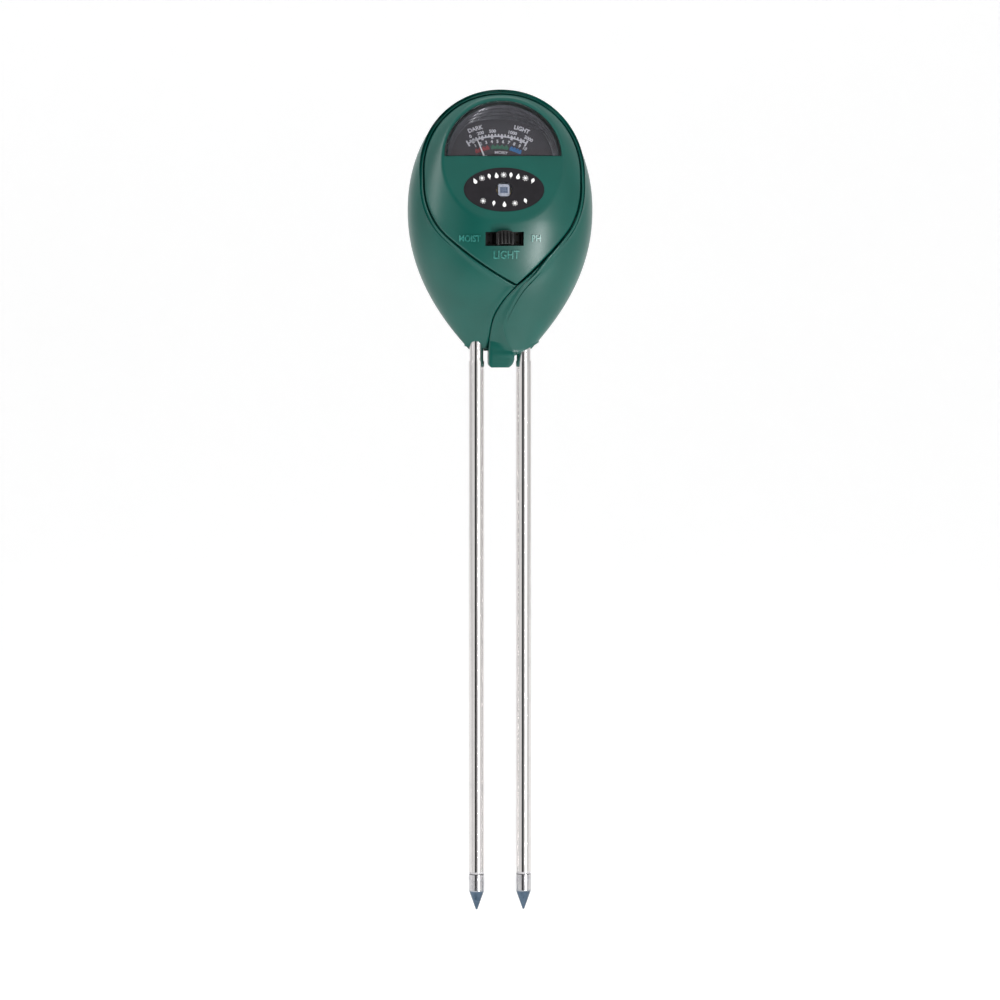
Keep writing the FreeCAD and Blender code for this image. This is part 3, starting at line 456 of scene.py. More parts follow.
def resistor_clay():
    """Tan lacquer with coloured code bands round the barrel."""
    def base(finish, grain):
        bands = (finish.axes(finish.place())[0] * 4200.0).wave().step(0.55, 0.7)
        return finish.mixed(bands * 0.8, (0.55, 0.40, 0.24), (0.22, 0.05, 0.03))
    return grained("resistor_clay", "resistor_ceramic", (1500.0,), base, (0.15, 0.4),
                   (0.00002, 0.3))


# ---- outlines
def ramp(value, low, high):
    """0 below low, 1 above high, and straight between."""
    return min(1.0, max(0.0, (value - low) / (high - low)))


def vault(share, power):
    return (1 - share ** power) ** (1 / power)


def half_width(z):
    """Half width of the head's outline at a height."""
    if z >= WIDEST_Z:
        return HALF_WIDTH * vault(ramp(z, WIDEST_Z, HEAD_TOP), ROOF_POWER)
    return HALF_WIDTH * (1 - ((WIDEST_Z - z) / TAPER_DROP) ** TAPER_POWER)


def keel_depth(z, depth):
    """Depth of the dome on its middle line."""
    if z >= DEEPEST_Z:
        return depth * vault(ramp(z, DEEPEST_Z, HEAD_TOP), ROOF_POWER)
    share = min(1.0, (DEEPEST_Z - z) / (DEEPEST_Z - HEAD_FOOT))
    return depth * (1 - share ** KEEL_POWER)


def section(x, z):
    """Share of the middle depth that a level section has at a place."""
    wide = half_width(z)
    return vault(min(1.0, abs(x) / wide) if wide > 0 else 1.0, SECTION_POWER)


def wrap_depth(x, z):
    return keel_depth(z, FRONT_DEPTH) * section(x, z)


def petal_depth(x, z):
    fade = ramp(z, PETAL_FULL_Z, PETAL_FADE_Z)
    flare = max(0.0, (RIM_FADE_Z - z) / (RIM_FADE_Z - HEAD_FOOT))
    lift = PETAL_RISE * (1 + math.cos(math.pi * fade)) / 2 + RIM_RISE * flare ** 2
    return (keel_depth(z, FRONT_DEPTH) + lift) * section(x, z)


def facet_depth(z):
    return FACET_DEPTH - math.tan(TILT) * (z - FACET_Z)


def panel_depth(x, z):
    """The panel's dome where it is behind the flat facet, and the facet elsewhere."""
    dome = keel_depth(z, FRONT_DEPTH + PANEL_RISE) * section(x, z)
    flat = facet_depth(z)
    gap = max(FACET_SOFTNESS - abs(dome - flat), 0.0) / FACET_SOFTNESS
    return min(dome, flat) - gap * gap * FACET_SOFTNESS / 4


def arc_through(start, middle, end, steps=24):
    """Points of the circle through three points, from the first to the last."""
    (ax, ay), (bx, by), (cx, cy) = start, middle, end
    d = 2 * (ax * (by - cy) + bx * (cy - ay) + cx * (ay - by))
    a, b, c = ax * ax + ay * ay, bx * bx + by * by, cx * cx + cy * cy
    ux = (a * (by - cy) + b * (cy - ay) + c * (ay - by)) / d
    uy = (a * (cx - bx) + b * (ax - cx) + c * (bx - ax)) / d
    radius = math.hypot(ax - ux, ay - uy)
    first = math.atan2(ay - uy, ax - ux)
    way = math.copysign(1.0, (bx - ax) * (cy - ay) - (by - ay) * (cx - ax))
    turn = (math.atan2(cy - uy, cx - ux) - first) * way % (2 * math.pi) * way
    return [(ux + radius * math.cos(first + turn * k / steps),
             uy + radius * math.sin(first + turn * k / steps)) for k in range(steps + 1)]


def curved(points, steps=16):
    """A smooth line through points (Catmull-Rom)."""
    ends = [points[0]] + list(points) + [points[-1]]
    line = []
    for a, b, c, d in zip(ends, ends[1:], ends[2:], ends[3:]):
        for k in range(steps):
            t = k / steps
            line.append(tuple(
                0.5 * (2 * q + (r - p) * t + (2 * p - 5 * q + 4 * r - s) * t * t
                       + (3 * q - p - 3 * r + s) * t ** 3)
                for p, q, r, s in zip(a, b, c, d)))
    return line + [tuple(points[-1])]


def spaced(points, count):
    """The same line with count points, evenly spaced along it."""
    lengths = [0.0]
    for a, b in zip(points, points[1:]):
        lengths.append(lengths[-1] + math.dist(a, b))
    line = []
    j = 0
    for k in range(count):
        goal = lengths[-1] * k / (count - 1)
        while j < len(points) - 2 and lengths[j + 1] < goal:
            j += 1
        share = (goal - lengths[j]) / max(lengths[j + 1] - lengths[j], 1e-9)
        line.append(tuple(p + (q - p) * share for p, q in zip(points[j], points[j + 1])))
    return line


def eased(points, rounds):
    """Irons out small kinks; the ends stay."""
    for _ in range(rounds):
        middle = [tuple((p + 2 * q + r) / 4 for p, q, r in zip(a, b, c))
                  for a, b, c in zip(points, points[1:], points[2:])]
        points = [points[0]] + middle + [points[-1]]
    return points


# Knots of the panel's edges: shares of its half width and of its height above the lower tip.
LEAF_LEFT = ((0, 1), (-0.696, 0.89), (-1, 0.55), (-0.945, 0.39), (-0.74, 0.262), (-0.26, 0.108))
LEAF_RIGHT = ((0, 1), (0.696, 0.89), (1, 0.55), (0.97, 0.41), (0.84, 0.287), (0.54, 0.145))


def leaf_edge(shares):
    """One edge of the face panel, from its top to its lower tip: three arcs end to end."""
    height = HEAD_TOP - LEAF_TOP_MARGIN - LEAF_TIP[1]
    knots = [(across * (HALF_WIDTH - LEAF_SIDE_MARGIN), LEAF_TIP[1] + up * height)
             for across, up in shares] + [LEAF_TIP]
    line = []
    for k in (0, 2, 4):
        line += arc_through(*knots[k:k + 3])[1 if line else 0:]
    return eased(spaced(line, 200), 20)


def offset(points, reach):
    """An open line moved sideways: positive is to the right of its direction."""
    moved = []
    last = len(points) - 1
    for k, (x, z) in enumerate(points):
        bx, bz = points[max(k - 1, 0)]
        ax, az = points[min(k + 1, last)]
        long = math.hypot(ax - bx, az - bz)
        moved.append((x + (az - bz) / long * reach, z - (ax - bx) / long * reach))
    return moved


# Where the petal's edge (the fold) leaves the panel, runs down past its tip, and ends at the foot.
FOLD_START = (13.5, 36.2)
FOLD_BELOW_TIP = ((0.8, 22.7), (-1.9, 18.3), (-3.0, 14.9), (-3.6, 10.6), (-3.85, 6.4), (-3.9, 2.2),
                  (-3.75, 0.6), (-3.1, 0.0))
WRAP_END_Z = 6.4
# The crease beside it, where the petal's own surface begins.
CREASE = ((12.1, 33.6), (10.6, 31.4), (6.4, 26.7), (4.2, 23.5), (2.4, 20.1), (1.0, 16.9),
          (0.35, 14.3), (0.6, 12.2), (1.25, 10.0), (2.15, 7.8), (3.2, 5.9), (4.2, 4.3))
TAB_RIGHT = ((4.45, 2.8), (3.9, 1.1), (2.8, 0.0))
TAB_FRONT = 3.62
TAB_BACK = 3.0
TAB_TOP = 3.2               # below this the tab's right side is straight and soft-edged
TAB_SOFT = 0.35
CREASE_FADE = (3.2, 4.3)    # heights over which the crease comes down to the tab's face
TAB_WALL_TOP = 8.0          # below this the stem is as deep as the tab
STEM_WALLS = (2.8, 2.4)     # above it, how deep its left and right walls are
DISH = 0.25                 # hollow of the strip between fold and crease,
DISH_FADE = (3.5, 9.5)      # which runs out into the tab
FOLD_ROUND = ((0.0, 0.5), (0.08, 0.25), (0.25, 0.08), (0.5, 0.0))
FOLD_SHARE = 0.3            # the most of the strip's width that the fold's rounding may take,
NARROW = 1.7                # which matters where the strip is narrower than this
STEP_UP = 0.75              # the fold stands this far above the wrap,
STEP_FULL = 1.2             # once the strip is this wide
WRAP_RIM_END_Z = 7.4
WRAP_ROLL = 0.6
PETAL_ROLL = 0.7
PETAL_RIM_OUT = (12.4, 8.7)


def fold_line():
    right = [p for p in leaf_edge(LEAF_RIGHT) if p[1] <= FOLD_START[1]]
    line = offset(right, -PANEL_GAP)
    line += curved([line[-1]] + list(FOLD_BELOW_TIP))[1:]
    return eased(spaced(line, 160), 2)


def crease_line():
    start = fold_line()[0]
    return eased(spaced(curved([start] + list(CREASE) + list(TAB_RIGHT)), 160), 2)


# ---- mesh helpers
def linked(name, data):
    """A new object in the scene."""
    made = bpy.data.objects.new(name, data)
    bpy.context.scene.collection.objects.link(made)
    return made


def new_piece(name, points, faces, finish):
    """A mesh in millimetres, in the frame's axes."""
    mesh = bpy.data.meshes.new(name)
    mesh.from_pydata([Vector(p) * MM for p in points], [], faces)
    mesh.materials.append(finish.material)
    return linked(name, mesh)


def settle(piece, finish, body, *nodes, smooth=35.0):
    """Shading, body and the CAD nodes that a finished piece stands for; the finish is not used."""
    mesh = piece.data
    mesh.polygons.foreach_set("use_smooth", [True] * len(mesh.polygons))
    mesh.set_sharp_from_angle(angle=math.radians(smooth))
    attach(piece, body)
    if nodes:
        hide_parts(*nodes)
    return piece


def welded(piece, distance=0.002):
    """Merges doubles, drops slivers and turns the faces outwards."""
    mesh = bmesh.new()
    mesh.from_mesh(piece.data)
    bmesh.ops.remove_doubles(mesh, verts=mesh.verts, dist=distance * MM)
    bmesh.ops.dissolve_degenerate(mesh, edges=mesh.edges, dist=distance * MM / 4)
    bmesh.ops.recalc_face_normals(mesh, faces=mesh.faces)
    mesh.to_mesh(piece.data)
    mesh.free()
    return piece


def baked(piece):
    """The piece with its modifiers applied."""
    graph = bpy.context.evaluated_depsgraph_get()
    mesh = bpy.data.meshes.new_from_object(piece.evaluated_get(graph))
    piece.modifiers.clear()
    old = piece.data
    piece.data = mesh
    bpy.data.meshes.remove(old)
    return piece


def joined(name, pieces):
    """One mesh out of several pieces; the first one's materials are kept in order."""
    mesh = bmesh.new()
    materials = []
    for piece in pieces:
        start = len(mesh.faces)
        mesh.from_mesh(piece.data)
        mesh.faces.ensure_lookup_table()
        slots = []
        for material in piece.data.materials:
            if material not in materials:
                materials.append(material)
            slots.append(materials.index(material))
        for face in mesh.faces[start:]:
            face.material_index = slots[face.material_index] if slots else 0
    data = bpy.data.meshes.new(name)
    mesh.to_mesh(data)
    mesh.free()
    for piece in pieces:
        bpy.data.objects.remove(piece)
    for material in materials:
        data.materials.append(material)
    return linked(name, data)


def grid_faces(rows, columns, close_columns=False):
    """Faces of a grid whose point (row, column) is number row * columns + column."""
    faces = []
    for r in range(rows - 1):
        for c in range(columns if close_columns else columns - 1):
            d = (c + 1) % columns
            faces.append((r * columns + c, (r + 1) * columns + c, (r + 1) * columns + d,
                          r * columns + d))
    return faces


def disc_solid(name, rim, centre, rows, height, finish):
    """A closed body from rings drawn in towards a centre.

    Each row is (share, inset, sink): the ring's share of the way from the centre to the rim,
    a fixed inset, and how far it lies behind height(x, z)."""
    count = len(rim)
    points = []
    for share, inset, sink in rows:
        for x, z in rim:
            dx, dz = x - centre[0], z - centre[1]
            long = math.hypot(dx, dz)
            reach = long * share - inset
            px, pz = centre[0] + dx / long * reach, centre[1] + dz / long * reach
            points.append((px, -(height(px, pz) - sink), pz))
    faces = grid_faces(len(rows), count, close_columns=True)
    for row, flip in ((0, False), (len(rows) - 1, True)):
        pole = len(points)
        sink = rows[row][2]
        points.append((centre[0], -(height(*centre) - sink), centre[1]))
        base = row * count
        for c in range(count):
            trio = (pole, base + c, base + (c + 1) % count)
            faces.append(trio[::-1] if flip else trio)
    return welded(new_piece(name, points, faces, finish), 0.0005)


def prism(name, outline, front, back, finish, matrix=None):
    """A straight prism: outline in X-Z, between two depths along Y."""
    count = len(outline)
    points = [(x, front, z) for x, z in outline] + [(x, back, z) for x, z in outline]
    if matrix:
        points = [tuple(matrix @ Vector(p)) for p in points]
    faces = [tuple(range(count)), tuple(range(2 * count - 1, count - 1, -1))]
    faces += [(k, k + count, (k + 1) % count + count, (k + 1) % count) for k in range(count)]
    return welded(new_piece(name, points, faces, finish), 0.0001)


def cut(piece, *cutters):
    for cutter in cutters:
        step = piece.modifiers.new("cut", "BOOLEAN")
        step.operation = "DIFFERENCE"
        step.solver = "EXACT"
        step.object = cutter
    baked(piece)
    for cutter in cutters:
        bpy.data.objects.remove(cutter)
    return piece


def bevelled(piece, width):
    step = piece.modifiers.new("bevel", "BEVEL")
    step.width = width * MM
    step.segments = 3
    step.limit_method = "ANGLE"
    step.angle_limit = math.radians(30.0)
    return baked(piece)


def walled(sheet, thickness):
    """A closed wall behind an open front sheet, whose faces are first turned forwards."""
    mesh = sheet.data
    if sum(p.normal.y * p.area for p in mesh.polygons) > 0:
        mesh.flip_normals()
    wall = sheet.modifiers.new("wall", "SOLIDIFY")
    wall.thickness = thickness * MM
    wall.offset = -1.0
    return baked(sheet)


def rounded(lip, front=0.0):
    """Rows for disc_solid that turn an edge over a quarter circle, from its front."""
    turns = [math.pi / 2 * k / 6 for k in range(7)]
    return [(1.0, lip * (1 - math.sin(a)), front + lip * (1 - math.cos(a))) for a in turns]


def box_outline(half_x, half_z, z):
    """A rectangle about a height, in X-Z."""
    return [(-half_x, z - half_z), (half_x, z - half_z), (half_x, z + half_z), (-half_x, z + half_z)]


def polar(radius, degrees):
    turn = math.radians(degrees)
    return radius * math.cos(turn), radius * math.sin(turn)


def turned(points, turn):
    """Flat points turned about their origin, by an angle in radians."""
    c, s = math.cos(turn), math.sin(turn)
    return [(x * c - y * s, x * s + y * c) for x, y in points]


# ---- green shell
LIP_R = 0.9
LIP_SHARE = 0.32            # the most of a skin's width that its lip may take
SKIRT = 3.2                 # the lip's wall goes this deep,
LEDGE = 1.2                 # and ends in a ledge under the panel
WRAP_BEAD = 0.38
PETAL_BEAD = 0.7
BEAD_SPREAD = 1.6
BEAD_FULL = 4.0             # a skin narrower than this has a lower bead
SHEET_STEPS = 26            # rows from the lip to the outline
SHEET_COLUMNS = 260
LIP_FADE = (27.0, 35.0)     # heights between which the petal's lip grows to its full size
LEAST_LIP = 0.1


def shell_sheet(name, inner, outer, depth, finish, roll, rise, lip_at):
    """A skin of the head from an inner line, with a rolled lip, to the outline.

    The lip drops into the groove beside the inner line. The last columns roll under by roll.
    rise is the height of the bead beside the lip, and lip_at gives the lip's size at a height."""
    lines = []
    for (px, pz), (qx, qz) in zip(inner, outer):
        long = math.dist((px, pz), (qx, qz))
        ux, uz = (qx - px) / long, (qz - pz) / long
        lip = min(lip_at(pz), LIP_SHARE * long)
        deep, ledge = SKIRT * lip / LIP_R, LEDGE * lip / LIP_R
        line = [(px - ux * ledge, pz - uz * ledge, deep), (px, pz, deep), (px, pz, 1.6 * lip)]
        for k in range(6):
            angle = math.pi / 2 * k / 5
            reach = lip * (1 - math.cos(angle))
            line.append((px + ux * reach, pz + uz * reach, lip * (1 - math.sin(angle))))
        for k in range(1, SHEET_STEPS + 1):
            reach = lip + (long - lip) * math.sin(math.pi / 2 * k / SHEET_STEPS)
            line.append((px + ux * reach, pz + uz * reach, 0.0))
        column = []
        crest = rise * lip_at(pz) / LIP_R * min(1.0, long / BEAD_FULL)
        for x, z, sink in line:
            away = math.dist((x, z), (px, pz))
            bead = crest * math.exp(-((away - lip) / BEAD_SPREAD) ** 2)
            column.append((x, -(max(depth(x, z) + bead - sink, 0.0)), z))
        column[-1] = (qx, 0.0, qz)
        lines.append(column)
    for angle in (25, 50, 75, 90):
        turn = math.radians(angle)
        lines.append([(x, min(y + roll * (1 - math.cos(turn)), 0.0), z - roll * math.sin(turn))
                      for x, y, z in lines[len(inner) - 1]])
    lines.append([(x, 0.0, z - roll) for x, y, z in lines[len(inner) - 1]])
    points = [p for column in lines for p in column]
    sheet = welded(new_piece(name, points, grid_faces(len(lines), len(lines[0])), finish), 0.01)
    return walled(sheet, SHELL_WALL)


def petal_lip(z):
    """Full beside the panel, and next to nothing along the crease, where the stem joins."""
    return LIP_R * (LEAST_LIP + (1 - LEAST_LIP) * ramp(z, *LIP_FADE))


def outline_side(side, low):
    """The head's outline from its top down one side to a height."""
    roof = [WIDEST_Z + (HEAD_TOP - WIDEST_Z) * math.cos(math.pi / 2 * k / 60) for k in range(61)]
    taper = [WIDEST_Z + (low - WIDEST_Z) * k / 60 for k in range(1, 61)]
    return [(side * half_width(z), z) for z in roof + taper]


def stem(finish):
    """The strip between the fold and the crease, and the stop tab that it runs down into."""
    stations = []
    for (ex, ez), (kx, kz) in zip(fold_line(), crease_line()):
        wide = max(math.dist((ex, ez), (kx, kz)), 1e-4)
        ux, uz = (kx - ex) / wide, (kz - ez) / wide
        edge = max(wrap_depth(ex, ez) + STEP_UP * min(1.0, wide / STEP_FULL), TAB_FRONT)
        crest = max(petal_depth(kx, kz), TAB_FRONT)
        ridge = TAB_FRONT + (crest - TAB_FRONT) * ramp(kz, *CREASE_FADE)
        in_tab = ez < TAB_WALL_TOP
        turn = FOLD_ROUND[-1][0]
        ring = [(ex, TAB_BACK if in_tab else -(edge - STEM_WALLS[0]), ez)]
        for reach, sink in FOLD_ROUND:
            reach = min(reach, wide * FOLD_SHARE)
            ring.append((ex + ux * reach, -(edge - sink), ez + uz * reach))
        for k in range(1, 8):
            share = k / 8
            dish = DISH * math.sin(math.pi * share) * ramp(ez, *DISH_FADE)
            reach = turn + (wide - turn) * share
            if wide < NARROW:
                reach = wide * (FOLD_SHARE + (1 - FOLD_SHARE) * share)
            ring.append((ex + ux * reach, -(edge + (ridge - edge) * share - dish), ez + uz * reach))
        soft = TAB_SOFT if kz < TAB_TOP else 0.0
        ring += [(kx - ux * soft * 0.3, -(ridge - soft * 0.3), kz), (kx, -(ridge - soft), kz),
                 (kx, TAB_BACK if in_tab else -(ridge - STEM_WALLS[1]), kz)]
        stations.append(ring)
    count = len(stations[0])
    points = [p for ring in stations for p in ring]
    faces = grid_faces(len(stations), count, close_columns=True)
    faces.append(tuple(range((len(stations) - 1) * count, len(stations) * count)))
    return welded(new_piece("stem", points, faces, finish), 0.003)


def green_wrap(finish):
    """Front shell: the wrap on the left, the petal that overlaps it, and the stem with its tab."""
    fold = fold_line()
    below_tip = [p for p in fold if WRAP_END_Z <= p[1] <= LEAF_TIP[1]]
    left_edge = offset(leaf_edge(LEAF_LEFT), PANEL_GAP)
    left_edge[0] = (0.0, left_edge[0][1])
    inner = spaced(left_edge + below_tip, SHEET_COLUMNS)
    outer = spaced(outline_side(-1, WRAP_RIM_END_Z), SHEET_COLUMNS)
    wrap = shell_sheet("wrap", inner, outer, wrap_depth, finish, WRAP_ROLL, WRAP_BEAD,
                       lambda z: LIP_R)
    right_edge = offset([p for p in leaf_edge(LEAF_RIGHT) if p[1] > FOLD_START[1]], -PANEL_GAP)
    right_edge[0] = (0.0, right_edge[0][1])
    crease = [p for p in crease_line() if p[1] >= CREASE[-1][1]]
    inner = spaced(right_edge + crease, SHEET_COLUMNS)
    outer = spaced(outline_side(1, PETAL_RIM_OUT[1]), SHEET_COLUMNS)
    petal = shell_sheet("petal", inner, outer, petal_depth, finish, PETAL_ROLL, PETAL_BEAD,
                        petal_lip)
    shell = joined("green_wrap", [wrap, petal, stem(finish)])
    return settle(shell, finish, "case", "front_cover", smooth=40.0)


# ---- face panel
def face_rim():
    return spaced(leaf_edge(LEAF_LEFT) + leaf_edge(LEAF_RIGHT)[::-1][1:], 361)[:-1]


def half_disc(radius, lift, steps=72):
    """Outline of the window: a round top on a level base, in face coordinates."""
    low = math.asin(lift / radius)
    return [(radius * math.cos(low + (math.pi - 2 * low) * k / steps),
             WINDOW_BASE + radius * math.sin(low + (math.pi - 2 * low) * k / steps))
            for k in range(steps + 1)]


def ellipse(half_u, half_v, steps=96):
    turns = [2 * math.pi * k / steps for k in range(steps)]
    return [(half_u * math.cos(turn), half_v * math.sin(turn)) for turn in turns]


def face_plate(finish):
    """Leaf-shaped face with its flat dial facet, window, badge recess and switch slot."""
    lip, thick, skirt = 0.5, 2.0, 0.6
    middle = (0.8, 58.0)
    rows = [(k / 72, 0.0, 0.0) for k in range(3, 71)] + rounded(lip)
    rows += [(1.0, 0.0, thick + 0.3), (1.0, skirt, thick + 0.3)]
    rows += [(k / 24, 0.0, thick) for k in range(23, 0, -1)]
    plate = disc_solid("face_plate", face_rim(), middle, rows, panel_depth, finish)
    recess = ellipse(BADGE_HALF[0] + BADGE_PLAY, BADGE_HALF[1] + BADGE_PLAY)
    cut(plate,
        prism("window_cut", half_disc(WINDOW_R, 0.0), -9, 9, finish, FACE),
        prism("badge_cut", recess, -3, BADGE_RECESS, finish, FACE),
        prism("pocket_cut", ellipse(POCKET_R, POCKET_R, 48), -3, 5, finish, FACE),
        prism("slot_cut", box_outline(*SLOT_HALF, SWITCH_Z), -40, -14, finish))
    return settle(plate, finish, "case", "face_panel", smooth=32.0)


def lettering(text, size, depth, finish, font_width, bold):
    """Plain letters as a mesh about their middle: x to the right, y up, z out of the surface."""
    curve = bpy.data.curves.new("letters", "FONT")
    curve.body = text
    curve.size = size
    curve.extrude = depth / 2
    curve.align_x = "CENTER"
    curve.align_y = "CENTER"
    curve.resolution_u = 3
    curve.offset = size * bold
    words = linked("letters", curve)
    graph = bpy.context.evaluated_depsgraph_get()
    mesh = bpy.data.meshes.new_from_object(words.evaluated_get(graph))
    bpy.data.objects.remove(words)
    for vertex in mesh.vertices:
        vertex.co.x *= font_width
    mesh.materials.clear()
    mesh.materials.append(finish.material)
    return linked("letters", mesh)


def placed_letters(letters, spot):
    """Moves letters' points by a function of their own x, y and z, all in millimetres."""
    for vertex in letters.data.vertices:
        vertex.co = Vector(spot(*vertex.co)) * MM
    return letters


def switch_legends(finish):
    """Raised legends beside the slot: what each switch place measures."""
    pieces = []
    for text, x0, z0, size in LEGENDS:
        letters = lettering(text, size, 0.6, finish, 0.82, 0.02)
        pieces.append(placed_letters(letters, lambda x, y, z, x0=x0, z0=z0: (
            x + x0, -(panel_depth(x + x0, y + z0) + z), y + z0)))
    legends = welded(joined("switch_legends", pieces), 0.0005)
    return settle(legends, finish, "case")


# ---- window and dial
def on_face(u, depth, v):
    return tuple(FACE @ Vector((u, depth, v)))


def laid(piece, matrix):
    """Moves a piece by a matrix that works in millimetres."""
    piece.data.transform(Matrix.Scale(MM, 4) @ matrix @ Matrix.Scale(1 / MM, 4))
    return piece


def window_cover(finish):
    """Clear cap of the window: rounded edges, a flat front and a skirt behind."""
    gap = 0.1
    rim = half_disc(WINDOW_R - gap, gap, 110)
    left = rim[-1][0]
    rim += [(left + (rim[0][0] - left) * k / 50, rim[0][1]) for k in range(1, 50)]
    front, lip, thick, skirt, back = -0.5, 0.45, 1.5, 0.8, 2.95
    rows = [(k / 12, 0.0, front) for k in range(1, 12)] + rounded(lip, front)
    rows += [(1.0, 0.0, back), (1.0, skirt, back), (1.0, skirt, front + thick + 0.3),
             (1.0, skirt + 0.3, front + thick)]
    rows += [(k / 8, 0.0, front + thick) for k in range(7, 0, -1)]
    middle = (0.0, WINDOW_BASE + 7.0)
    cap = disc_solid("window_cover", rim, middle, rows, lambda x, z: 0.0, finish)
    laid(cap, FACE)
    return settle(cap, finish, "case", "window_lens", smooth=30.0)


def dial_surround(finish):
    """Stepped ring between the dial's round edge and the window's wall."""
    outer_r = WINDOW_R - 0.95
    least = 1.3
    count = 140
    steps = ((0.0, 5.95), (0.1, 5.7), (0.28, 5.5), (0.30, 4.5), (0.5, 4.25), (0.52, 3.2),
             (0.72, 2.9), (0.74, 2.1), (0.94, 1.7), (1.0, 1.45))
    points = []
    for c in range(count + 1):
        angle = math.pi * c / count
        ox, oz = outer_r * math.cos(angle), WINDOW_BASE + outer_r * math.sin(angle)
        reach = min(1.0, (DIAL_R - 0.1) / math.hypot(ox - PIVOT[0], oz - PIVOT[1]))
        ix = PIVOT[0] + (ox - PIVOT[0]) * reach
        iz = PIVOT[1] + (oz - PIVOT[1]) * reach
        if math.dist((ix, iz), (ox, oz)) < least:
            ix = ox * (1 - least / outer_r)
            iz = WINDOW_BASE + (oz - WINDOW_BASE) * (1 - least / outer_r)
        points += [on_face(ix + (ox - ix) * share, depth, iz + (oz - iz) * share)
                   for share, depth in steps]
    faces = grid_faces(count + 1, len(steps))
    ring = walled(welded(new_piece("dial_surround", points, faces, finish), 0.0005), 0.12)
    return settle(ring, finish, "case", smooth=20.0)


def dial_spot(angle, radius, lift):
    """A place on the dial: angle clockwise from straight up about the pointer's axis."""
    turn = math.radians(angle)
    return on_face(PIVOT[0] + radius * math.sin(turn), DIAL_DEPTH - lift,
                   PIVOT[1] + radius * math.cos(turn))


def dial_band(name, first, last, inner, outer, finish):
    """A printed arc between two angles and two radii."""
    count = max(4, int(last - first))
    angles = [first + (last - first) * k / count for k in range(count + 1)]
    rows = ((inner, 0.005), (inner, PRINT_LIFT), (outer, PRINT_LIFT), (outer, 0.005))
    points = [dial_spot(a, r, lift) for a in angles for r, lift in rows]
    faces = grid_faces(count + 1, 4, close_columns=True)
    faces += [(0, 1, 2, 3), tuple(len(points) - k for k in (1, 2, 3, 4))]
    return welded(new_piece(name, points, faces, finish), 0.0002)


def dial_text(text, angle, radius, size, finish, squeeze):
    """Text that stands on a circle about the pointer's axis."""
    letters = lettering(text, size, PRINT_LIFT, finish, squeeze, 0.032)

    def spot(x, y, z):
        return dial_spot(angle + math.degrees(x / radius), radius + y, z + PRINT_LIFT)
    return placed_letters(letters, spot)


def socket_id(tree, name):
    """Identifier of a tree's named input, which a modifier's setting goes by."""
    return next(item.identifier for item in tree.interface.items_tree
                if item.name == name and item.in_out == "INPUT")


class Steps(Paint):
    """Writes a Geometry Nodes tree with named inputs."""

    def __init__(self, name, numbers, *wholes):
        super().__init__(bpy.data.node_groups.new(name, "GeometryNodeTree"))
        kinds = [("Geometry", "Geometry"), *((title, "Float") for title in numbers.split()),
                 *((title, "Int") for title in wholes), ("Finish", "Material")]
        sockets = self.tree.interface
        for title, kind in kinds:
            sockets.new_socket(title, in_out="INPUT", socket_type="NodeSocket" + kind)
        sockets.new_socket("Geometry", in_out="OUTPUT", socket_type="NodeSocketGeometry")
        self.start = self.tree.nodes.new("NodeGroupInput")

    def given(self, names):
        return [self.out(self.start, name) for name in names.split()]

    def geo(self, kind, sockets=None, settings=None):
        """The first output of a geometry node."""
        return self.node("GeometryNode" + kind, settings, sockets).outputs[0]

    def vector(self, x=0.0, y=0.0, z=0.0):
        return self.node("ShaderNodeCombineXYZ", None, {0: x, 1: y, 2: z}).outputs[0]

    def bars(self, count, spot, size, turn=(0.0, 0.0, 0.0)):
        """A whole tree: bars of one size, one at each of count places."""
        row = self.geo("Points", {"Count": count})
        spread = self.geo("SetPosition", {"Geometry": row, "Position": spot})
        bar = self.geo("MeshCube", {"Size": size})
        return self.ended(self.geo("InstanceOnPoints", {
            "Points": spread, "Instance": bar, "Rotation": turn}))

    def ended(self, geometry):
        """Ends in Realize Instances and Set Material."""
        real = self.geo("RealizeInstances", {"Geometry": geometry})
        coat = self.geo("SetMaterial", {"Geometry": real, "Material": self.given("Finish")[0]})
        self.feed(self.tree.nodes.new("NodeGroupOutput").inputs[0], coat)
        return self.tree


def grown_from(name, tree, finish, values, points=((0.0, 0.0, 0.0),)):
    """Runs a tree on loose points and returns its plain mesh. Lengths are in millimetres."""
    mesh = bpy.data.meshes.new(name)
    mesh.from_pydata([Vector(p) * MM for p in points], [], [])
    piece = linked(name, mesh)
    step = piece.modifiers.new("build", "NODES")
    step.node_group = tree
    for title, value in values.items():
        step[socket_id(tree, title)] = value
    step[socket_id(tree, "Finish")] = finish.material
    return baked(piece)


def tick_tree():
    """Teeth set evenly round an arc, each a bar that points away from the arc's middle."""
    steps = Steps("scale_ticks", "Radius First Last Width Length Lift", "Count")
    radius, first, last, width, length, lift, count = steps.given(
        "Radius First Last Width Length Lift Count")
    index = steps.out(steps.node("GeometryNodeInputIndex"))
    angle = first + index / (count - 1.0) * (last - first)
    spot = steps.vector(angle.wave() * radius, 0.0, angle.cosine() * radius)
    return steps.bars(count, spot, steps.vector(width, lift, length), steps.vector(0.0, angle))


def scale_ticks(tree, first, last, count, radius, width, length, finish):
    """Ticks of the light scale, laid on the dial."""
    ticks = grown_from("ticks", tree, finish, {
        "Radius": radius * MM, "First": math.radians(first), "Last": math.radians(last),
        "Count": count, "Width": width * MM, "Length": length * MM, "Lift": PRINT_LIFT * MM})
    middle = Matrix.Translation((PIVOT[0], DIAL_DEPTH - PRINT_LIFT / 2, PIVOT[1]))
    return laid(ticks, FACE @ middle)


LIGHT_SCALE_R = 19.3
MOIST_R = 17.5
LIGHT_MARKS = (("0", -24.0), ("200", -14.6), ("500", -3.8), ("1000", 13.8), ("2000", 29.0))


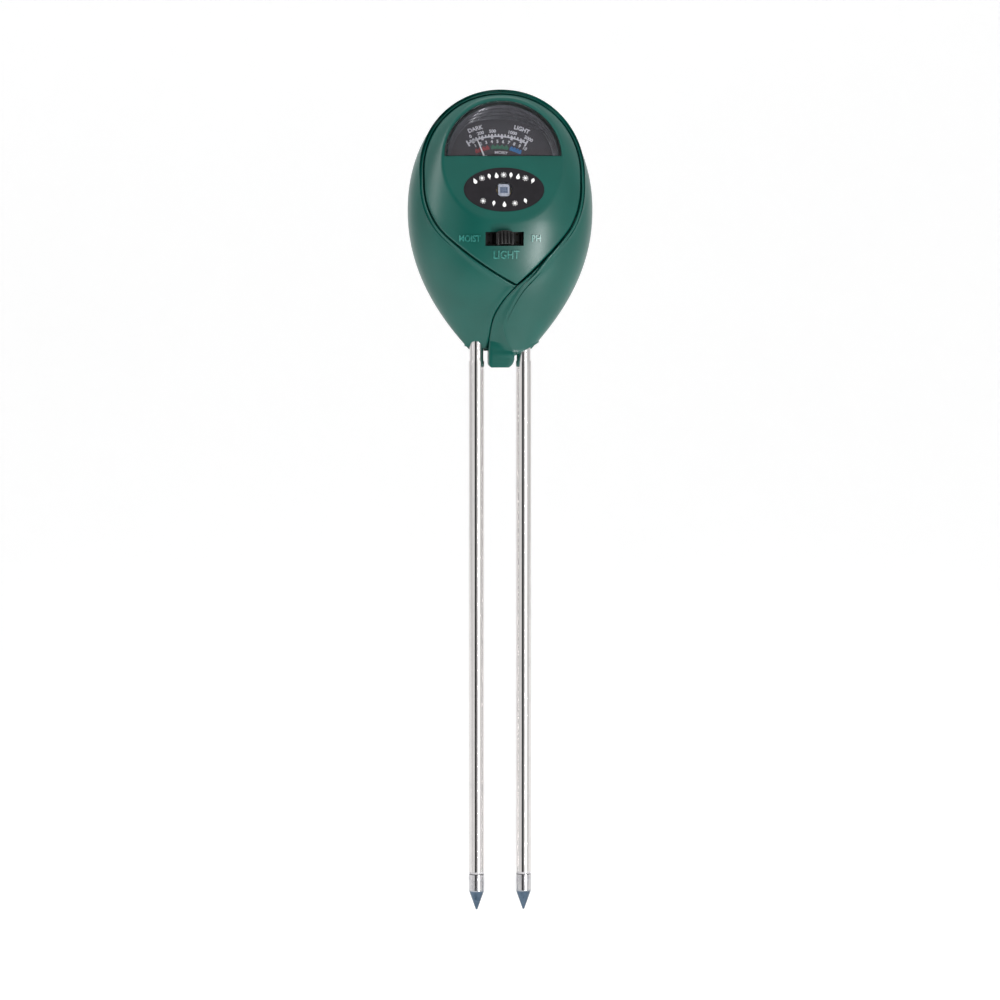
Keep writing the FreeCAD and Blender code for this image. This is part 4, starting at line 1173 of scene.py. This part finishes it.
def dial_white(finish):
    """White print: the light scale with its teeth, its numbers and legends, and 1 to 10."""
    tree = tick_tree()
    r = LIGHT_SCALE_R
    parts = [dial_band("scale_arc", -29.0, 29.0, r - 0.24, r + 0.24, finish)]
    for first, last, count, out, width, length in DIAL_TEETH:
        parts.append(scale_ticks(tree, first, last, count, r + out, width, length, finish))
    words = [(text, angle, r + 1.75, 1.5, 1.0) for text, angle in LIGHT_MARKS]
    words += [("DARK", -17.8, r + 3.6, 1.95, 0.95), ("LIGHT", 20.5, r + 3.8, 1.95, 0.95),
              ("MOIST", 5.0, 13.75, 1.3, 1.1)]
    words += [(str(k), -29.6 + 6.0 * k, MOIST_R, 1.5, 0.95) for k in range(1, 11)]
    parts += [dial_text(text, angle, radius, size, finish, squeeze)
              for text, angle, radius, size, squeeze in words]
    return settle(joined("dial_white", parts), finish, "case")


def dial_zones(red, green, blue):
    """Coloured zones under the numbers, with four teeth each: dry, moist and wet."""
    inner, outer, crown, half_tooth = 15.0, 16.0, 16.45, 1.2
    parts = []
    for name, first, last, finish in (("dry", -27.0, -9.5, red), ("moist", -7.5, 13.5, green),
                                      ("wet", 15.0, 29.5, blue)):
        parts.append(dial_band(name, first, last, inner, outer, finish))
        for k in range(4):
            angle = first + (last - first) * (k + 0.5) / 4
            parts.append(dial_band(name, angle - half_tooth, angle + half_tooth, outer, crown,
                                   finish))
    return settle(joined("dial_zones", parts), red, "case")


# ---- badge
def drop_shape():
    bulb = [polar(0.62, a) for a in range(150, 391, 20)]
    return [[(0.0, 1.0)] + [(x, y - 0.38) for x, y in bulb]]


def sun_shape():
    bar = ((0.58, -0.11), (0.98, -0.07), (0.98, 0.07), (0.58, 0.11))
    rays = [turned(bar, math.radians(45 * k)) for k in range(8)]
    return [[polar(0.42, a) for a in range(0, 360, 24)]] + rays


def leaf_shape():
    blade = [(0.52 * math.sin(math.pi * t), -0.75 + 1.75 * t) for t in (k / 8 for k in range(9))]
    other = [(-x, y) for x, y in blade[7:0:-1]]
    stalk = [(-0.07, -1.0), (0.07, -1.0), (0.07, -0.7), (-0.07, -0.7)]
    return [blade + other, stalk]


def badge_mark(shapes, u0, v0, turn, size, finish):
    """A flat raised mark on the badge."""
    lines = [[(u0 + size * x, v0 + size * y) for x, y in turned(shape, turn)] for shape in shapes]
    return [prism("mark", line, -0.1 - PRINT_LIFT, -0.09, finish, FACE) for line in lines]


def badge_marks(finish):
    """Rows of small drops, suns and leaves along the badge's upper and lower edge."""
    shapes = (drop_shape(), sun_shape(), leaf_shape())
    parts = []
    for count, first, edge, end, bend, lean, size in (
            (9, 0, 4.95, 9.3, -0.0235, -0.047, 0.98), (5, 1, -4.95, 6.8, 0.023, 0.046, 0.95)):
        for k in range(count):
            u = -end + 2 * end * k / (count - 1)
            parts += badge_mark(shapes[(k + first) % 3], u, edge + bend * u * u, lean * u, size,
                                finish)
    return settle(joined("badge_marks", parts), finish, "case")


# ---- switch
def rib_tree():
    """Upright ribs in a row that sinks a little to each side."""
    steps = Steps("thumb_ribs", "Pitch Width Depth Height Sink", "Count")
    pitch, width, depth, height, sink, count = steps.given("Pitch Width Depth Height Sink Count")
    index = steps.out(steps.node("GeometryNodeInputIndex"))
    away = index - (count - 1.0) / 2.0
    spot = steps.vector(away * pitch, 0.0, away * away * sink)
    return steps.bars(count, spot, steps.vector(width, depth, height))


def switch_thumb(finish):
    """Ribbed thumb piece with the stem and slider behind it."""
    low, high = node_box("switch_knob")
    foot = SWITCH_Z - SLOT_HALF[1] + 0.7
    half, slider_back = 2.85, 1.4
    front = low.y
    back = front + 2.4
    arch = [(x, foot + 3.3 + z * 1.1 / half) for x, z in (polar(half, a) for a in range(0, 181, 12))]
    slab = prism("slab", arch + [(-half, foot), (half, foot)], front + 0.75, back, finish)
    bevelled(slab, 0.2)
    neck = prism("neck", box_outline(2.25, 1.5, SWITCH_Z), back - 0.3, high.y - slider_back, finish)
    slider = prism("slider", box_outline(3.25, 2.0, SWITCH_Z), high.y - slider_back, high.y, finish)
    bevelled(slider, 0.15)
    ribs = grown_from("ribs", rib_tree(), finish, {
        "Pitch": 1.14 * MM, "Count": 5, "Width": 0.72 * MM, "Depth": 1.5 * MM,
        "Height": 3.9 * MM, "Sink": -0.11 * MM})
    laid(ribs, Matrix.Translation((0.0, front + 0.75, foot + 2.05)))
    bevelled(ribs, 0.18)
    thumb = joined("switch_thumb", [slab, neck, slider, ribs])
    return settle(thumb, finish, "slider", "switch_knob")


# ---- rear screws
def screw_tree():
    """Pan-head screws with a cross recess, one at each point, seen from behind."""
    names = "HeadRadius HeadHeight ShankRadius ShankLength Recess"
    steps = Steps("cross_screws", names)
    head_r, head_h, shank_r, shank_h, recess = steps.given(names)
    head = steps.geo("MeshCylinder", {"Vertices": 48, "Radius": head_r, "Depth": head_h})
    crown = steps.geo("MeshUVSphere", {"Segments": 48, "Rings": 16, "Radius": head_r * 1.25})
    sunk = steps.geo("Transform", {"Geometry": crown, "Translation": (0.0, 0.0, -0.0019)})
    pan = steps.geo("MeshBoolean", {"Mesh": [head, sunk]}, {"operation": "INTERSECT"})
    long, deep, lift = recess * 5.0, 0.0012, (0.0, 0.0, 0.0007)
    bars = [steps.geo("MeshCube", {"Size": size})
            for size in (steps.vector(recess, long, deep), steps.vector(long, recess, deep))]
    bars = [steps.geo("Transform", {"Geometry": bar, "Translation": lift}) for bar in bars]
    crossed = steps.geo("MeshBoolean", {"Mesh 1": pan, "Mesh 2": bars},
                        {"operation": "DIFFERENCE"})
    shank = steps.geo("MeshCylinder", {"Vertices": 32, "Radius": shank_r, "Depth": shank_h})
    shank = steps.geo("Transform", {
        "Geometry": shank, "Translation": steps.vector(0.0, 0.0, shank_h * -0.5)})
    whole = steps.geo("JoinGeometry", {0: [crossed, shank]})
    seat = steps.geo("MeshToPoints", {"Mesh": steps.given("Geometry")[0]})
    return steps.ended(steps.geo("InstanceOnPoints", {
        "Points": seat, "Instance": whole, "Rotation": (-math.pi / 2, 0.0, 0.3)}))


SCREW_PLACES = ((23.2, 61.0), (15.0, 27.0))


def cover_screws(finish):
    """The four screws that hold the covers together, down in the wells of the rear cover."""
    low, high = node_box("case_screws")
    head = 1.3
    seat = high.y - head / 2
    places = [(side * x, seat, z) for x, z in SCREW_PLACES for side in (-1, 1)]
    screws = grown_from("cover_screws", screw_tree(), finish, {
        "HeadRadius": 2.1 * MM, "HeadHeight": head * MM, "ShankRadius": 1.0 * MM,
        "ShankLength": (seat - low.y) * MM, "Recess": 0.5 * MM}, places)
    return settle(screws, finish, "case", "case_screws")


# ---- stage
def stage_room():
    """A pale floor that curves up into a pale backdrop."""
    finish = Finish("paper_white", "stage")
    mottle = finish.noise(3.0, 3.0)
    finish.set(base_color=finish.mixed(mottle, (0.93, 0.93, 0.93), (0.95, 0.95, 0.95)),
               roughness=0.9, emission_color=(1.0, 1.0, 1.0), emission_strength=0.24)
    floor_z = CAD_LOW.z / MM - 260.0
    half, bend, near, far, top = 4000.0, 900.0, -420.0, 3600.0, 5200.0
    line = [(near, floor_z), (far - bend, floor_z)]
    line += [(far - bend + bend * math.sin(math.radians(a)),
              floor_z + bend - bend * math.cos(math.radians(a))) for a in range(6, 91, 6)]
    line.append((far, top))
    points = [(x, y, z) for y, z in line for x in (-half, half)]
    room = new_piece("paper_room", points, grid_faces(len(line), 2), finish)
    room.data.polygons.foreach_set("use_smooth", [True] * len(room.data.polygons))


def soft_box(name, place, target, size, power):
    light = bpy.data.lights.new(name, "AREA")
    light.shape = "RECTANGLE"
    light.size, light.size_y = size
    light.energy = power
    lamp = linked(name, light)
    lamp.location = place
    lamp.rotation_euler = (Vector(target) - Vector(place)).to_track_quat("-Z", "Y").to_euler()


def studio():
    """Pale light all round with a dark gap in front, which only reflections show."""
    world = bpy.data.worlds.new("studio")
    bpy.context.scene.world = world
    world.use_nodes = True
    paint = Paint(world.node_tree)
    x, y, _ = paint.axes(paint.node("ShaderNodeTexCoord").outputs["Generated"])
    front = 1.0 - y.step(-0.6, -0.1)
    gap_middle, gap_half, gap_end = 0.24, 0.22, 0.3
    gap = (1.0 - (x + gap_middle).size().step(gap_half, gap_end)) * front
    side = x.size().step(0.86, 0.98) * 0.3
    seen = paint.out(paint.node("ShaderNodeLightPath"), "Is Camera Ray")
    dark = (gap * 0.98 + side) * (1.0 - seen)
    colour = paint.mixed(dark, (1.0, 1.0, 1.0), (0.02, 0.02, 0.022))
    glow = paint.node("ShaderNodeBackground", None, {0: colour, 1: 0.85})
    end = paint.node("ShaderNodeOutputWorld")
    paint.feed(end.inputs[0], glow.outputs[0])
    soft_box("left_box", (-1.0, -0.35, 0.5), (0.0, 0.0, 0.0), (0.35, 1.1), 8.0)
    soft_box("right_box", (0.52, -0.85, -0.55), (0.0, 0.0, 0.03), (0.11, 1.1), 19.0)
    soft_box("top_box", (0.0, -0.2, 1.1), (0.0, 0.0, 0.0), (0.8, 0.8), 6.0)


def camera():
    """Long lens, a little above and a few degrees round to the left of straight on."""
    turn = math.radians(4.0)
    distance, span, eye_z = 1.6, 0.3251, 0.08
    aim = Vector((0.0, 0.0, -0.0434))
    view = bpy.data.cameras.new("camera")
    view.sensor_width = 36.0
    view.lens = distance / span * view.sensor_width
    view.clip_start, view.clip_end = 0.05, 20.0
    eye = linked("camera", view)
    eye.location = (-math.sin(turn) * distance, -math.cos(turn) * distance, eye_z)
    eye.rotation_euler = (aim - eye.location).to_track_quat("-Z", "Y").to_euler()
    bpy.context.scene.camera = eye


# ---- CAD nodes that stay
def dress_nodes(green, white):
    black_plastic = glossy_black()
    steel = plain_metal("bright_steel", "steel", (0.56, 0.56, 0.55), 0.26)
    brass = plain_metal("turned_brass", "brass", (0.72, 0.50, 0.20), 0.24)
    dull = plain_metal("dulled_brass", "brass", (0.05, 0.035, 0.015), 0.4)
    dark = plain_metal("blackened_steel", "steel", (0.035, 0.034, 0.034), 0.4)
    for finish, nodes in (
            (green, "rear_cover"), (white, "pointer"), (badge_black(), "badge_plate"),
            (window_clear(), "sensor_lens"), (silver_frame(), "photocell_body"),
            (silicon_blue(), "photocell_cell"), (dial_board(), "dial_plate"),
            (wound_copper(), "coil_winding"), (woven_board(), "circuit_board"),
            (resistor_clay(), "resistors"), (dark, "switch_frame"), (dull, "switch_terminals"),
            (black_plastic, "meter_housing switch_base"),
            (sleeve_plastic(), "photocell_wires movement_wires probe_wire_left probe_wire_right"),
            (spacer_ring(), "probe_ring_left probe_ring_right"),
            (polished_nickel(), "probe_tube_left probe_tube_right"),
            (turned_tip(), "probe_tip_left probe_tip_right"),
            (steel, "dial_screws movement_screws yoke_ring core_magnet core_supports"),
            (steel, "front_hairspring rear_hairspring coil_former pivot_staffs"),
            (brass, "front_bridge rear_bridge front_jewel rear_jewel balance_weight"),
            (brass, "switch_contacts probe_lug_left probe_lug_right"),
            (brass, "probe_collar_left probe_collar_right")):
        for name in nodes.split():
            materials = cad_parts[name].data.materials
            materials.clear()
            materials.append(finish.material)


def build():
    bpy.context.scene.view_settings.view_transform = "Standard"
    green = moulded_green()
    white = white_paint()
    dress_nodes(green, white)
    green_wrap(green)
    face_plate(green)
    # the raised legends get a paler green: a painted highlight
    switch_legends(rubbed_green())
    window_cover(window_clear())
    dial_surround(bezel_smoke())
    dial_white(ink("ink_white", (0.86, 0.86, 0.88)))
    dial_zones(ink("ink_red", (0.42, 0.045, 0.05)), ink("ink_green", (0.03, 0.19, 0.10)),
               ink("ink_blue", (0.03, 0.22, 0.55)))
    badge_marks(ink("badge_white", (0.88, 0.88, 0.88), "badge_print"))
    switch_thumb(switch_black())
    cover_screws(plain_metal("screw_steel", "steel", (0.5, 0.49, 0.47), 0.28))
    stage_room()
    studio()
    camera()


build()
